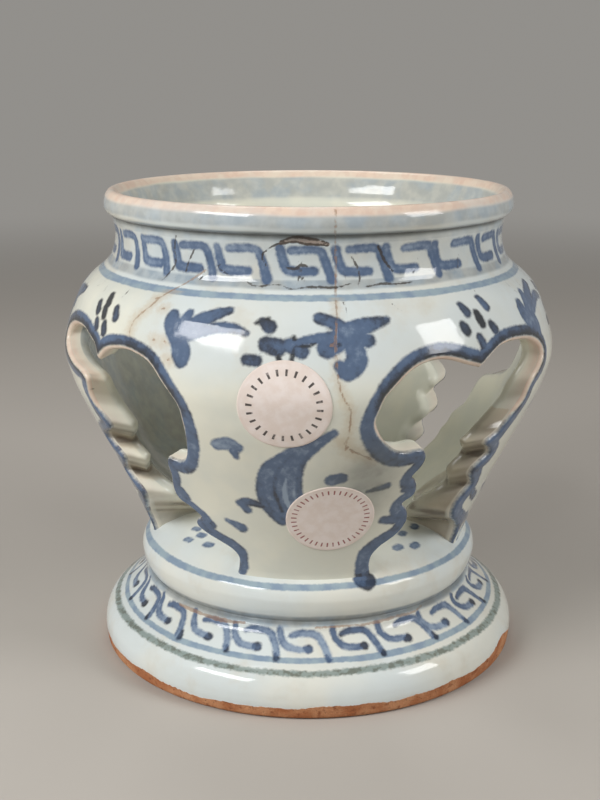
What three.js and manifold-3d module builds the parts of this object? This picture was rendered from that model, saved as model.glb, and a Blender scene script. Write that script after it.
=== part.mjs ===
// Porcelain vase stand: a pierced round stand thrown and luted in sections.
// Millimetres, +Z up, origin on the axis in the plane of the foot. The front leg faces -Y.

import * as THREE from "three";
import { mergeVertices } from "three/addons/utils/BufferGeometryUtils.js";
import Module from "manifold-3d";

const wasm = await Module();
wasm.setup();

// Heights of the joints between the thrown sections
const footHeight = 4.4;
const plinthHeight = 19.7;
const drumHeight = 11.6;
const legHeight = 56.6;
const shoulderHeight = 32.8;
const neckHeight = 16.2;
const lipHeight = 7.7;

// Outer radii
const footRadius = 68.3;
const footEdgeRadius = 69.1;
const footEdgeRise = 1.2;
const plinthSlopeRadius = 62.2;
const plinthSlopeHeight = 10.6;
const plinthEdgeRadius = 68.1;
const plinthEdgeHeight = 5.3;
const plinthHollowRadius = 58.5;
const plinthHollowTaper = 4;
const grooveRadius = 53.4;
const grooveFootRadius = 54.2;
const grooveFootDrop = 1.8;
const drumRadius = 55.9;
const drumBulgeHeight = 6.9;
const drumLineRadius = 53.3;
const waistRadius = 52.4;
const waistRise = 3.3;
const legCalfRadius = 61.4;
const legCalfHeight = 24.3;
const legKneeRadius = 71.3;
const legKneeHeight = 44.3;
const legTopRadius = 76.5;
const bellyRadius = 78;
const bellyRise = 10.7;
const shoulderRadius = 72.4;
const shoulderRise = 26.0;
const shoulderLineRadius = 65.6;
const neckRadius = 61.1;
const neckWaistRise = 9.2;
const neckTopRadius = 61.4;
const lipRadius = 64.3;
const lipBulgeRise = 3;
const lipCrestRadius = 62.5;
const lipFootOverhang = 0.6;
const lipUpperInset = 0.3;
const lipLandWidth = 1.6;
const lipInnerDrop = 3;

// Walls and the floor inside the pierced body
const footWidth = 8.3;
const plinthWall = 8.2;
const drumWall = 8.4;
const legWall = 8.2;
const legRootWall = 17;
const legRootTopWall = 9.4;
const legRootRise = 15;
const shoulderWall = 7.4;
const shoulderTopWall = 6.6;
const neckWall = 5.8;
const lipInnerWall = 4.6;
const floorRise = 10.6;
const floorThickness = 7;
const ledgeRadius = 46.3;
const ledgeRise = 5;
const hollowShoulderRadius = 31.5;
const hollowShoulderDrop = 3.6;
const hollowEdgeDrop = 7.1;

// Four legs, set square to each other, and the windows between them
const legCount = 4;
const legPitch = 360 / legCount;
const toCusp = legPitch / 2;

// Half widths of a leg as angles in degrees, each at a height above the drum line
const ankle = { angle: 20.3, height: 8.2 };
const spread = { angle: 26.2, height: 12.1 };
const lowerScallop = { angle: 32.6, height: 18.6 };
const lowerNotch = { angle: 30.3, height: 23.9 };
const upperScallop = { angle: 34.2, height: 28.9 };
const upperNotch = { angle: 31.6, height: 35.6 };
const hook = { angle: 32.6, height: 41.6, depth: 3.6 };
const hookRoot = { angle: 25.4, height: 44.8 };
const legWaist = { angle: 21.3, height: 51.4 };

// The top of a window: degrees back from the cusp, and heights above the shoulder joint
const cusp = { rise: 12.1 };
const crown = { angle: 10.5, rise: 16.6 };
const crownInner = { angle: 4.6, rise: 15.0 };
const crownOuter = { angle: 15.6, rise: 15.3 };
const windowSide = { angle: 21.3, rise: 9.2 };
const windowFoot = { angle: 24.1 };

// The windows were cut by eye: how far each edge of the front leg strays
const frontLeanAngle = 4.4;
const frontHookLift = 2.8;
const frontScallopLift = 1.2;

// Two round paper labels on the front leg
const labelRadius = 12.9;
const labelThickness = 0.3;
const labelGap = 0.3;
const upperLabel = { angle: 1.8, rise: 5.8 };
const lowerLabel = { angle: 12.6, rise: -32.1 };

// Facets and clearances
const seatGap = 0.3;
const legFootGap = 0.45;
const ribbonInner = 30;
const ribbonOuter = 102;
const ribbonSteps = 6;
const turnSteps = 40;
const bodySteps = 200;
const legSteps = 10;
const shoulderSteps = 9;
const lowerEdgeSteps = 26;
const upperEdgeSteps = 9;
const rootSteps = 9;
const ledgeSteps = 9;
const plinthSteps = 9;
const drumSteps = 7;
const shoulderInnerSteps = 6;
const lobeSteps = 12;
const neckSteps = 5;
const lipSteps = 7;
const labelSteps = 28;

// Joint heights above the ground
const footTop = footHeight;
const plinthTop = footTop + plinthHeight;
const drumLine = plinthTop + drumHeight;
const shoulderFoot = drumLine + legHeight;
const shoulderTop = shoulderFoot + shoulderHeight;
const neckTop = shoulderTop + neckHeight;
const lipTop = neckTop + lipHeight;

const porcelain = { color: 0xdfe2da, roughness: 0.16, metalness: 0 };
const biscuit = { color: 0xb4764f, roughness: 0.8, metalness: 0 };
const paper = { color: 0xeaddd2, roughness: 0.75, metalness: 0 };

const at = (radius, height) => new THREE.Vector2(radius, height);
const smooth = (points, steps) => new THREE.SplineCurve(points).getPoints(steps);

// Outer line of the pierced body, from the drum line to the shoulder line
const bodyLine = new THREE.SplineCurve([
  at(drumLineRadius, drumLine),
  at(waistRadius, drumLine + waistRise),
  at(legCalfRadius, drumLine + legCalfHeight),
  at(legKneeRadius, drumLine + legKneeHeight),
  at(legTopRadius, shoulderFoot),
  at(bellyRadius, shoulderFoot + bellyRise),
  at(shoulderRadius, shoulderFoot + shoulderRise),
  at(shoulderLineRadius, shoulderTop),
]);
const bodySamples = bodyLine.getPoints(bodySteps);

// Evenly spaced points of the body line between two heights
function bodyBetween(low, high, count) {
  const points = [];
  for (let i = 0; i <= count; i += 1) {
    const height = low + ((high - low) * i) / count;
    points.push(at(bodyRadiusAt(height), height));
  }
  return points;
}

// Radius of the body line at a height, read between its samples
function bodyRadiusAt(height) {
  const next = bodySamples.findIndex((point) => point.y >= height);
  if (next <= 0) return next === 0 ? bodySamples[0].x : bodySamples[bodySteps].x;
  const [a, b] = [bodySamples[next - 1], bodySamples[next]];
  return a.x + ((b.x - a.x) * (height - a.y)) / (b.y - a.y);
}

// A closed section outline turned about the axis
function turned(outline) {
  const closed = [...outline, outline[0].clone()];
  return new THREE.LatheGeometry(closed, turnSteps).rotateX(Math.PI / 2);
}

// A solid that can be joined and cut, with collapsed triangles left out
function solid(geometry) {
  const bare = geometry.clone();
  bare.deleteAttribute("normal");
  bare.deleteAttribute("uv");
  const merged = mergeVertices(bare);
  const index = merged.index.array;
  const kept = [];
  for (let i = 0; i < index.length; i += 3) {
    const [a, b, c] = [index[i], index[i + 1], index[i + 2]];
    if (a !== b && b !== c && c !== a) kept.push(a, b, c);
  }
  const vertProperties = new Float32Array(merged.attributes.position.array);
  const triVerts = new Uint32Array(kept);
  return new wasm.Manifold(new wasm.Mesh({ numProp: 3, vertProperties, triVerts }));
}

// A drawable geometry from a solid
function geometryOf(body) {
  const { vertProperties, triVerts } = body.getMesh();
  const geometry = new THREE.BufferGeometry();
  geometry.setAttribute("position", new THREE.BufferAttribute(new Float32Array(vertProperties), 3));
  geometry.setIndex(new THREE.BufferAttribute(new Uint32Array(triVerts), 1));
  geometry.computeVertexNormals();
  return geometry;
}

// A flat outline in degrees and heights, made deep along the radius and bent about the axis
function bent(outline, innerRadius, outerRadius) {
  const shape = new THREE.Shape(outline);
  const depth = outerRadius - innerRadius;
  const geometry = new THREE.ExtrudeGeometry(shape, { depth, steps: ribbonSteps, bevelEnabled: false });
  const position = geometry.attributes.position;
  for (let i = 0; i < position.count; i += 1) {
    const angle = THREE.MathUtils.degToRad(position.getX(i));
    const radius = innerRadius + position.getZ(i);
    position.setXYZ(i, radius * Math.sin(angle), -radius * Math.cos(angle), position.getY(i));
  }
  return geometry;
}

// One edge of a leg from its foot to its top, as degrees from the leg's middle and heights.
// A lean carries the foot sideways, and a lift raises the right edge and lowers the left one.
function legEdge(side, { lean, hookLift, scallopLift }) {
  const top = toCusp - windowFoot.angle;
  const point = (angle, height, share) => at(side * angle + lean * share, drumLine + height);
  const scallopUp = side * scallopLift;
  const hookUp = side * hookLift;
  const lower = smooth(
    [
      point(ankle.angle, 0, 1),
      point(ankle.angle, ankle.height, 1),
      point(spread.angle, spread.height, 0.9),
      point(lowerScallop.angle, lowerScallop.height + scallopUp, 0.8),
      point(lowerNotch.angle, lowerNotch.height + scallopUp, 0.7),
      point(upperScallop.angle, upperScallop.height + scallopUp, 0.5),
      point(upperNotch.angle, upperNotch.height + scallopUp, 0.5),
      point(hook.angle, hook.height - hook.depth / 2 + hookUp, 0.4),
    ],
    lowerEdgeSteps,
  );
  const upper = smooth(
    [
      point(hook.angle, hook.height + hook.depth / 2 + hookUp, 0.4),
      point(hookRoot.angle, hookRoot.height + hookUp, 0.3),
      point(legWaist.angle, legWaist.height, 0.1),
      at(side * top, shoulderFoot),
    ],
    upperEdgeSteps,
  );
  return [...lower, ...upper];
}

// One leg: the wall of the body inside the leg's outline, seated on the ledge
function legGeometry(stray) {
  const outline = [...legEdge(1, stray), ...legEdge(-1, stray).reverse()];
  const wall = solid(legWallRing());
  const shaped = wall.intersect(solid(bent(outline, ribbonInner, ribbonOuter)));
  return geometryOf(shaped.subtract(solid(ledgeCutter())));
}

// The outer faces that the legs are turned with
function legFacets() {
  return bodyBetween(drumLine + legFootGap, shoulderFoot, legSteps);
}

// The outer faces that the shoulder is turned with
function shoulderFacets() {
  return bodyBetween(shoulderFoot, shoulderTop, shoulderSteps);
}

// The wall that the legs are cut from, thicker inside towards its root
function legWallRing() {
  const rootTop = drumLine + floorRise + legRootRise;
  const inner = smooth(
    [
      at(bodyRadiusAt(shoulderFoot) - legWall, shoulderFoot),
      at(bodyRadiusAt(drumLine + legKneeHeight) - legWall, drumLine + legKneeHeight),
      at(bodyRadiusAt(rootTop) - legRootTopWall, rootTop),
      at(waistRadius - legRootWall, drumLine + floorRise),
      at(waistRadius - legRootWall, drumLine + legFootGap),
    ],
    rootSteps,
  );
  return turned([...legFacets(), ...inner]);
}

// The domed ledge and floor on which the legs stand
function ledgeLine(raise) {
  return smooth(
    [
      at(drumLineRadius, drumLine + raise),
      at(ledgeRadius, drumLine + ledgeRise + raise),
      at(waistRadius - legRootWall, drumLine + (ledgeRise + floorRise) / 2 + raise),
      at(0, drumLine + floorRise + raise),
    ],
    ledgeSteps,
  );
}

function ledgeCutter() {
  const line = ledgeLine(seatGap);
  const reach = footEdgeRadius;
  const geometry = new THREE.LatheGeometry(
    [at(0, 0), at(reach, 0), at(reach, drumLine + seatGap), ...line],
    turnSteps,
  );
  return geometry.rotateX(Math.PI / 2);
}

function footGeometry() {
  return turned([
    at(footRadius, 0),
    at(footEdgeRadius, footEdgeRise),
    at(footEdgeRadius, footTop),
    at(footRadius - footWidth, footTop),
    at(footRadius - footWidth, 0),
  ]);
}

function plinthGeometry() {
  const outer = smooth(
    [
      at(footEdgeRadius, footTop),
      at(plinthEdgeRadius, footTop + plinthEdgeHeight),
      at(plinthSlopeRadius, footTop + plinthSlopeHeight),
      at(grooveFootRadius, plinthTop - grooveFootDrop),
      at(grooveRadius, plinthTop),
    ],
    plinthSteps,
  );
  const inner = [
    at(grooveRadius - plinthWall, plinthTop),
    at(plinthHollowRadius - plinthHollowTaper, footTop + plinthSlopeHeight),
    at(plinthHollowRadius, footTop),
  ];
  return turned([...outer, ...inner]);
}

function drumGeometry() {
  const wall = smooth(
    [
      at(grooveRadius, plinthTop),
      at(drumRadius, plinthTop + drumBulgeHeight),
      at(drumLineRadius, drumLine),
    ],
    drumSteps,
  );
  const hollow = grooveRadius - drumWall;
  const hollowTop = drumLine + floorRise - floorThickness;
  const under = [
    at(0, hollowTop),
    at(hollowShoulderRadius, hollowTop - hollowShoulderDrop),
    at(hollow, hollowTop - hollowEdgeDrop),
    at(hollow, plinthTop),
  ];
  const outline = [...under, ...wall, ...ledgeLine(0).slice(1)];
  return new THREE.LatheGeometry(outline, turnSteps).rotateX(Math.PI / 2);
}

function shoulderGeometry() {
  const inner = smooth(
    [
      at(shoulderLineRadius - shoulderTopWall, shoulderTop),
      at(shoulderRadius - shoulderWall, shoulderFoot + shoulderRise - shoulderWall / 2),
      at(bellyRadius - shoulderWall, shoulderFoot + bellyRise),
      at(bodyRadiusAt(shoulderFoot) - legWall, shoulderFoot),
    ],
    shoulderInnerSteps,
  );
  let band = solid(turned([...shoulderFacets(), ...inner]));
  for (let i = 0; i < legCount; i += 1) {
    const middle = toCusp + i * legPitch;
    band = band.subtract(solid(bent(windowTop(middle), ribbonInner, ribbonOuter)));
  }
  return geometryOf(band);
}

// The two lobes of a window above the shoulder joint, meeting in a cusp
function windowTop(middle) {
  const half = (side) =>
    smooth(
      [
        at(middle, shoulderFoot + cusp.rise),
        at(middle + side * crownInner.angle, shoulderFoot + crownInner.rise),
        at(middle + side * crown.angle, shoulderFoot + crown.rise),
        at(middle + side * crownOuter.angle, shoulderFoot + crownOuter.rise),
        at(middle + side * windowSide.angle, shoulderFoot + windowSide.rise),
        at(middle + side * windowFoot.angle, shoulderFoot),
      ],
      lobeSteps,
    );
  const below = shoulderFoot - footHeight;
  const left = half(-1);
  const right = half(1);
  return [
    at(middle - windowFoot.angle, below),
    at(middle + windowFoot.angle, below),
    ...right.reverse(),
    ...left.slice(1),
  ];
}

function neckGeometry() {
  const outer = smooth(
    [
      at(shoulderLineRadius, shoulderTop),
      at(neckRadius, shoulderTop + neckWaistRise),
      at(neckTopRadius, neckTop),
    ],
    neckSteps,
  );
  return turned([
    ...outer,
    at(neckTopRadius - neckWall, neckTop),
    at(neckRadius - neckWall, shoulderTop + neckWaistRise),
    at(shoulderLineRadius - shoulderTopWall, shoulderTop),
  ]);
}

function lipGeometry() {
  const outer = smooth(
    [
      at(neckTopRadius + lipFootOverhang, neckTop),
      at(lipRadius, neckTop + lipBulgeRise),
      at(lipRadius - lipUpperInset, lipTop - lipBulgeRise),
      at(lipCrestRadius, lipTop),
    ],
    lipSteps,
  );
  return turned([
    ...outer,
    at(lipCrestRadius - lipLandWidth, lipTop),
    at(lipCrestRadius - lipInnerWall, lipTop - lipInnerDrop),
    at(neckTopRadius - neckWall, neckTop),
  ]);
}

// A thin round label lying on the body at an angle and at a rise from the shoulder joint
function labelGeometry({ angle, rise }) {
  const middle = shoulderFoot + rise;
  const line = [...legFacets(), ...shoulderFacets().slice(1)];
  const lift = (distance) => line.map((point) => at(point.x + distance, point.y));
  const sheet = turned([...lift(labelGap + labelThickness), ...lift(labelGap).reverse()]);
  const radius = bodyRadiusAt(middle);
  const widening = bodyRadiusAt(middle + labelRadius) - bodyRadiusAt(middle - labelRadius);
  const slope = widening / (2 * labelRadius);
  const stretch = 1 / Math.hypot(1, slope);
  const outline = new THREE.EllipseCurve(
    angle,
    middle,
    THREE.MathUtils.radToDeg(labelRadius / radius),
    labelRadius * stretch,
  ).getPoints(labelSteps).slice(1);
  const ribbon = bent(outline, radius - labelRadius, radius + labelRadius);
  return geometryOf(solid(sheet).intersect(solid(ribbon)));
}

function piece(name, geometry, finish, turn = 0) {
  const mesh = new THREE.Mesh(geometry, new THREE.MeshStandardMaterial(finish));
  mesh.name = name;
  mesh.rotation.z = THREE.MathUtils.degToRad(turn);
  return mesh;
}

const stand = new THREE.Group();
stand.name = "vase_stand";

const base = new THREE.Group();
base.add(piece("foot_ring", footGeometry(), biscuit));
base.add(piece("base_plinth", plinthGeometry(), porcelain));
base.add(piece("waist_drum", drumGeometry(), porcelain));
stand.add(base);

const piercedBody = new THREE.Group();
const frontStray = { lean: frontLeanAngle, hookLift: frontHookLift, scallopLift: frontScallopLift };
const noStray = { lean: 0, hookLift: 0, scallopLift: 0 };
const legNames = ["leg_front", "leg_right", "leg_back", "leg_left"];
legNames.forEach((name, i) => {
  const shape = legGeometry(i === 0 ? frontStray : noStray);
  piercedBody.add(piece(name, shape, porcelain, i * legPitch));
});
piercedBody.add(piece("shoulder_band", shoulderGeometry(), porcelain));
stand.add(piercedBody);

const mouth = new THREE.Group();
mouth.add(piece("neck_collar", neckGeometry(), porcelain));
mouth.add(piece("lip_ring", lipGeometry(), porcelain));
stand.add(mouth);

const labels = new THREE.Group();
labels.add(piece("label_upper", labelGeometry(upperLabel), paper));
labels.add(piece("label_lower", labelGeometry(lowerLabel), paper));
stand.add(labels);

export default stand;
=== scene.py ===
"""Pierced porcelain vase stand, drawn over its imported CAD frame.

Every shape is a grid of numbers in millimetres, turned or cut by numpy and made into a mesh in metres.
A place on the wall is an angle in degrees, from -Y towards +X, and a height above the foot.
"""

import logging
import math
from dataclasses import dataclass
from enum import Enum

import bpy
import numpy as np
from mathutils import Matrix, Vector


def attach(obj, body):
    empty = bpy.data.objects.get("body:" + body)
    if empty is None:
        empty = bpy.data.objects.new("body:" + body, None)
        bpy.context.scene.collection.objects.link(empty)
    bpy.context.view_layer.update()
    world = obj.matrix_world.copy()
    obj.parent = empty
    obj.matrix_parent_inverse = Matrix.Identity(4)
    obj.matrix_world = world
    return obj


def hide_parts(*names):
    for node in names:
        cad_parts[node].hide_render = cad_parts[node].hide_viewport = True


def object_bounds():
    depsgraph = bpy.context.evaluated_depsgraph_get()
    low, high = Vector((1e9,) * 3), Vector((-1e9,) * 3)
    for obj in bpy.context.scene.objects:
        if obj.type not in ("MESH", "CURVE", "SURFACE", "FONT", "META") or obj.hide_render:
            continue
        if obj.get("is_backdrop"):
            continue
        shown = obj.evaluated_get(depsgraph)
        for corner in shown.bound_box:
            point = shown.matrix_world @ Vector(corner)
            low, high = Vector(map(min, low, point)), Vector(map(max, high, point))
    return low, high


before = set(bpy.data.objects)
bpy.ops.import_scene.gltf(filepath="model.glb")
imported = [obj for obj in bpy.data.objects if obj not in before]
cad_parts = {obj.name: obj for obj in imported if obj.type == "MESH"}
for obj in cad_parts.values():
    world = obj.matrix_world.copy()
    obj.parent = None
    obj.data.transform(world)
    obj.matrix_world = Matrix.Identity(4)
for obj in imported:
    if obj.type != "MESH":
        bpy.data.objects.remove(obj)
CAD_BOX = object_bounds()

MM = 0.001
COLUMNS = 816
QUARTER = COLUMNS // 4
CORNER = math.radians(50)
ROUNDING_SPANS = 5
WALL_SAMPLES = 40
PAST_SLANT = 1.2
TINY = 1e-9
SHORT = 1e-6
SHOWN = "_shown"
LOG = logging.getLogger("vase_stand")

Rows = tuple[tuple[float, ...], ...]
Layers = dict[str, np.ndarray]


class Finish(Enum):
    """The three finishes of the record, each with the slot it is known by."""

    GLAZE = "glazed_body"
    BISCUIT = "bare_foot"
    PAPER = "label_paper"


# Lines and grids


def spline(points: Rows | np.ndarray, per_span: int = 8) -> np.ndarray:
    """Draws a uniform Catmull-Rom curve through points.

    For points p0 p1 p2 p3 and t from 0 to 1 between p1 and p2 the curve is the cubic that
    passes through p1 and p2 with slopes (p2 - p0) / 2 and (p3 - p1) / 2.

    Args:
        points: N rows of any width.
        per_span: samples between two neighbouring points.

    Returns:
        (N - 1) * per_span + 1 rows along the curve.
    """
    p = np.asarray(points, float)
    held = np.vstack([p[:1], p, p[-1:]])
    count = len(p) - 1
    p0, p1, p2, p3 = (held[i : i + count, None] for i in range(4))
    slope0, slope1 = (p2 - p0) / 2, (p3 - p1) / 2
    t = np.linspace(0, 1, per_span, endpoint=False)[None, :, None]
    cubic = (2 * p1 - 2 * p2 + slope0 + slope1) * t**3
    square = (3 * p2 - 3 * p1 - 2 * slope0 - slope1) * t**2
    curve = cubic + square + slope0 * t + p1
    return np.vstack([curve.reshape(-1, p.shape[1]), p[-1:]])


def even(line: np.ndarray, step: float) -> np.ndarray:
    """Spaces the points of a line evenly, about a step apart.

    Args:
        line: rows of points.
        step: wanted distance in mm.

    Returns:
        The line's points at equal distances along it, its two ends kept.
    """
    run = np.r_[0, np.cumsum(np.hypot(*np.diff(line, axis=0).T))]
    count = max(int(round(run[-1] / step)), 1)
    at = np.linspace(0, run[-1], count + 1)
    return np.column_stack([np.interp(at, run, line[:, i]) for i in range(2)])


def rounded(corner: tuple, before: tuple, after: tuple, radius: float) -> np.ndarray:
    """Rounds the corner between two straight lines.

    The points lie on the quadratic curve whose ends are a radius away from the corner along
    either line, and whose middle control point is the corner.

    Args:
        corner: the corner as radius and height.
        before: a point on the line coming in.
        after: a point on the line going out.
        radius: distance from the corner at which the rounding starts.

    Returns:
        Points from the line coming in to the line going out.
    """
    c, a, b = (np.asarray(p, float) for p in (corner, before, after))
    start = c + (a - c) / np.linalg.norm(a - c) * radius
    end = c + (b - c) / np.linalg.norm(b - c) * radius
    t = np.linspace(0, 1, ROUNDING_SPANS + 1)[:, None]
    return (1 - t) ** 2 * start + 2 * t * (1 - t) * c + t**2 * end


def wrap(degrees: np.ndarray) -> np.ndarray:
    """Brings angles into the range -180 to 180."""
    return (np.asarray(degrees) + 180) % 360 - 180


def smoothstep(low: float, high: float, value: np.ndarray) -> np.ndarray:
    """Goes from 0 at low to 1 at high along 3t^2 - 2t^3, whichever of the two is greater."""
    t = np.clip((value - low) / (high - low), 0, 1)
    return t * t * (3 - 2 * t)


def beside(phi: np.ndarray, middle: float, far: float, near: float) -> np.ndarray:
    """Goes from 0 at far degrees from a middle angle to 1 at near degrees from it."""
    return smoothstep(far, near, np.abs(wrap(phi - middle)))


def placed(phi: np.ndarray, radius: np.ndarray, height: np.ndarray) -> np.ndarray:
    """Turns angles, radii and heights in mm into points."""
    a = np.radians(phi)
    return np.stack([radius * np.sin(a), -radius * np.cos(a), height + 0 * a], axis=-1)


def nearest(spots: np.ndarray, start: np.ndarray, way: np.ndarray) -> tuple[np.ndarray, np.ndarray]:
    """Measures from flat places to every piece of a line.

    The nearest point of a piece lies at start + s * way, where s is (place - start).way / |way|^2,
    held between 0 and 1.

    Args:
        spots: N flat places.
        start: the start of each of M pieces.
        way: how each piece runs from its start to its end.

    Returns:
        The distances and the shares s, both N by M.
    """
    off = spots[:, None] - start[None]
    share = np.clip((off * way).sum(-1) / np.maximum((way**2).sum(-1), TINY), 0, 1)
    return np.hypot(*np.moveaxis(off - share[..., None] * way, -1, 0)), share


@dataclass(frozen=True)
class Wall:
    """A wall's line as radius over height, read between close samples."""

    radii: np.ndarray
    heights: np.ndarray

    @classmethod
    def through(cls, points: Rows) -> "Wall":
        """Makes the wall whose line is the spline through points.

        Args:
            points: rows of radius and height.

        Returns:
            The wall.
        """
        line = spline(points, WALL_SAMPLES)
        order = np.argsort(line[:, 1], kind="stable")
        return cls(line[order, 0], line[order, 1])

    def radius(self, height: np.ndarray) -> np.ndarray:
        """Reads the radius at a height."""
        return np.interp(height, self.heights, self.radii)

    def slope(self, height: np.ndarray) -> np.ndarray:
        """Reads how fast the radius grows with height, over a span of 1 mm."""
        return self.radius(np.asarray(height) + 0.5) - self.radius(np.asarray(height) - 0.5)

    def runs(self) -> np.ndarray:
        """Sums the distance along the wall's line up to each of its samples."""
        return np.r_[0, np.cumsum(np.hypot(np.diff(self.radii), np.diff(self.heights)))]

    def run(self, height: np.ndarray) -> np.ndarray:
        """Reads the distance along the wall's line up to a height, and carries it on past both ends."""
        past = height - np.clip(height, self.heights[0], self.heights[-1])
        return np.interp(height, self.heights, self.runs()) + PAST_SLANT * past

    def height_at(self, run: np.ndarray) -> np.ndarray:
        """Reads the height at a distance along the wall's line."""
        return np.interp(run, self.runs(), self.heights)

    def normal(self, phi: np.ndarray, height: np.ndarray) -> np.ndarray:
        """Finds which way the wall faces: (sin, -cos, -slope) divided by its length.

        Args:
            phi: angles in degrees.
            height: heights in mm.

        Returns:
            Outward normals, as x, y and z.
        """
        a, fall = np.radians(phi), -self.slope(height)
        n = np.stack([np.sin(a) + 0 * fall, -np.cos(a) + 0 * fall, fall + 0 * a], axis=-1)
        return n / np.linalg.norm(n, axis=-1, keepdims=True)


# Meshes


@dataclass(frozen=True)
class Places:
    """Where the points of a piece lie: angle, height, radius, and share of the way into the wall."""

    phi: np.ndarray
    height: np.ndarray
    radius: np.ndarray
    inward: np.ndarray


class MeshMaker:
    """Gathers points and faces in mm and makes one object at the origin from them."""

    def __init__(self, name: str) -> None:
        """Starts an empty mesh.

        Args:
            name: the object's name, before SHOWN.
        """
        self.name = name
        self.points = np.zeros((0, 3))
        self.faces: list[np.ndarray] = []
        self.normals: np.ndarray | None = None
        self.paint: Layers = {}

    def add_points(self, points: np.ndarray) -> int:
        """Adds points.

        Args:
            points: rows of x, y and z.

        Returns:
            The number of the first one.
        """
        first = len(self.points)
        self.points = np.vstack([self.points, points.reshape(-1, 3)])
        return first

    def add_grid(self, numbers: np.ndarray) -> None:
        """Adds the quads between the rows of a grid, whose last column joins the first.

        Args:
            numbers: point numbers, a row for each height and a column for each angle.
        """
        right = np.roll(numbers, -1, axis=1)
        corners = [numbers[:-1], right[:-1], right[1:], numbers[1:]]
        self.faces.append(np.stack(corners, axis=-1).reshape(-1, 4))

    def add_fan(self, tip: int, ring: np.ndarray) -> None:
        """Adds the triangles from a point to a closed ring of points."""
        tips = np.full(len(ring), tip)
        self.faces.append(np.stack([tips, ring, np.roll(ring, -1)], axis=-1))

    def places(self, inward: np.ndarray) -> Places:
        """Reads where the points lie, given how far into the wall each one is."""
        x, y, height = self.points.T
        return Places(np.degrees(np.arctan2(x, -y)), height, np.hypot(x, y), inward)

    def build(self) -> bpy.types.Object:
        """Makes the object, with corners sharper than CORNER drawn sharp where it has no normals.

        Returns:
            The object, at the origin, with its painted values as point attributes.
        """
        mesh = bpy.data.meshes.new(self.name + SHOWN)
        sizes = np.concatenate([np.full(len(f), f.shape[1]) for f in self.faces])
        corners = np.concatenate([f.ravel() for f in self.faces]).astype(np.int32)
        mesh.vertices.add(len(self.points))
        mesh.vertices.foreach_set("co", (self.points * MM).astype(np.float32).ravel())
        mesh.loops.add(len(corners))
        mesh.loops.foreach_set("vertex_index", corners)
        mesh.polygons.add(len(sizes))
        starts = np.r_[0, np.cumsum(sizes)[:-1]].astype(np.int32)
        mesh.polygons.foreach_set("loop_start", starts)
        mesh.update(calc_edges=True)
        mesh.polygons.foreach_set("use_smooth", np.ones(len(sizes), bool))
        for key, values in self.paint.items():
            layer = mesh.attributes.new(key, "FLOAT", "POINT")
            layer.data.foreach_set("value", values.astype(np.float32).ravel())
        if self.normals is not None:
            mesh.normals_split_custom_set_from_vertices(self.normals.astype(np.float32))
        else:
            mesh.set_sharp_from_angle(angle=CORNER)
        mesh.validate()
        made = bpy.data.objects.new(self.name + SHOWN, mesh)
        bpy.context.scene.collection.objects.link(made)
        return made


def turned(name: str, outline: np.ndarray) -> MeshMaker:
    """Turns an outline about the axis.

    Point (i, j) lies at the outline's radius and height i, at the angle 360 * j / COLUMNS.
    An outline whose ends lie on the axis is closed there by fans, any other joins its own start.

    Args:
        name: the object's name.
        outline: radius and height rows, going up on the outside.

    Returns:
        A mesh maker whose first points are the grid, row by row.
    """
    maker = MeshMaker(name)
    capped = outline[0, 0] == 0 and outline[-1, 0] == 0
    rows = outline[1:-1] if capped else outline
    phi = np.arange(COLUMNS) * 360 / COLUMNS
    maker.add_points(placed(phi[None, :], rows[:, :1], rows[:, 1:]))
    numbers = np.arange(len(rows) * COLUMNS).reshape(len(rows), COLUMNS)
    if capped:
        maker.add_grid(numbers)
        ends = [(outline[0], numbers[0][::-1]), (outline[-1], numbers[-1])]
        for (radius, height), ring in ends:
            maker.add_fan(maker.add_points(np.array([[radius, 0, height]])), ring)
    else:
        maker.add_grid(np.vstack([numbers, numbers[:1]]))
    return maker


# The body's walls

DRUM_LINE = 35.7
LEG_TOP = 92.3
SHOULDER_LINE = 125.1
OUTER = Wall.through(
    [
        (54.0, DRUM_LINE), (52.6, 38.8), (61.4, 60.0), (71.25, 80.0), (76.45, LEG_TOP), (77.95, 103.0),
        (72.4, 118.3), (65.6, SHOULDER_LINE),
    ]
)
INNER = Wall.through(
    [
        (35.4, DRUM_LINE), (35.4, 45.0), (39.5, 50.5), (52.6, 61.3), (63.2, 80.0), (68.4, LEG_TOP),
        (70.6, 103.0), (65.0, 114.6), (59.0, SHOULDER_LINE),
    ]
)


# The cut windows

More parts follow.
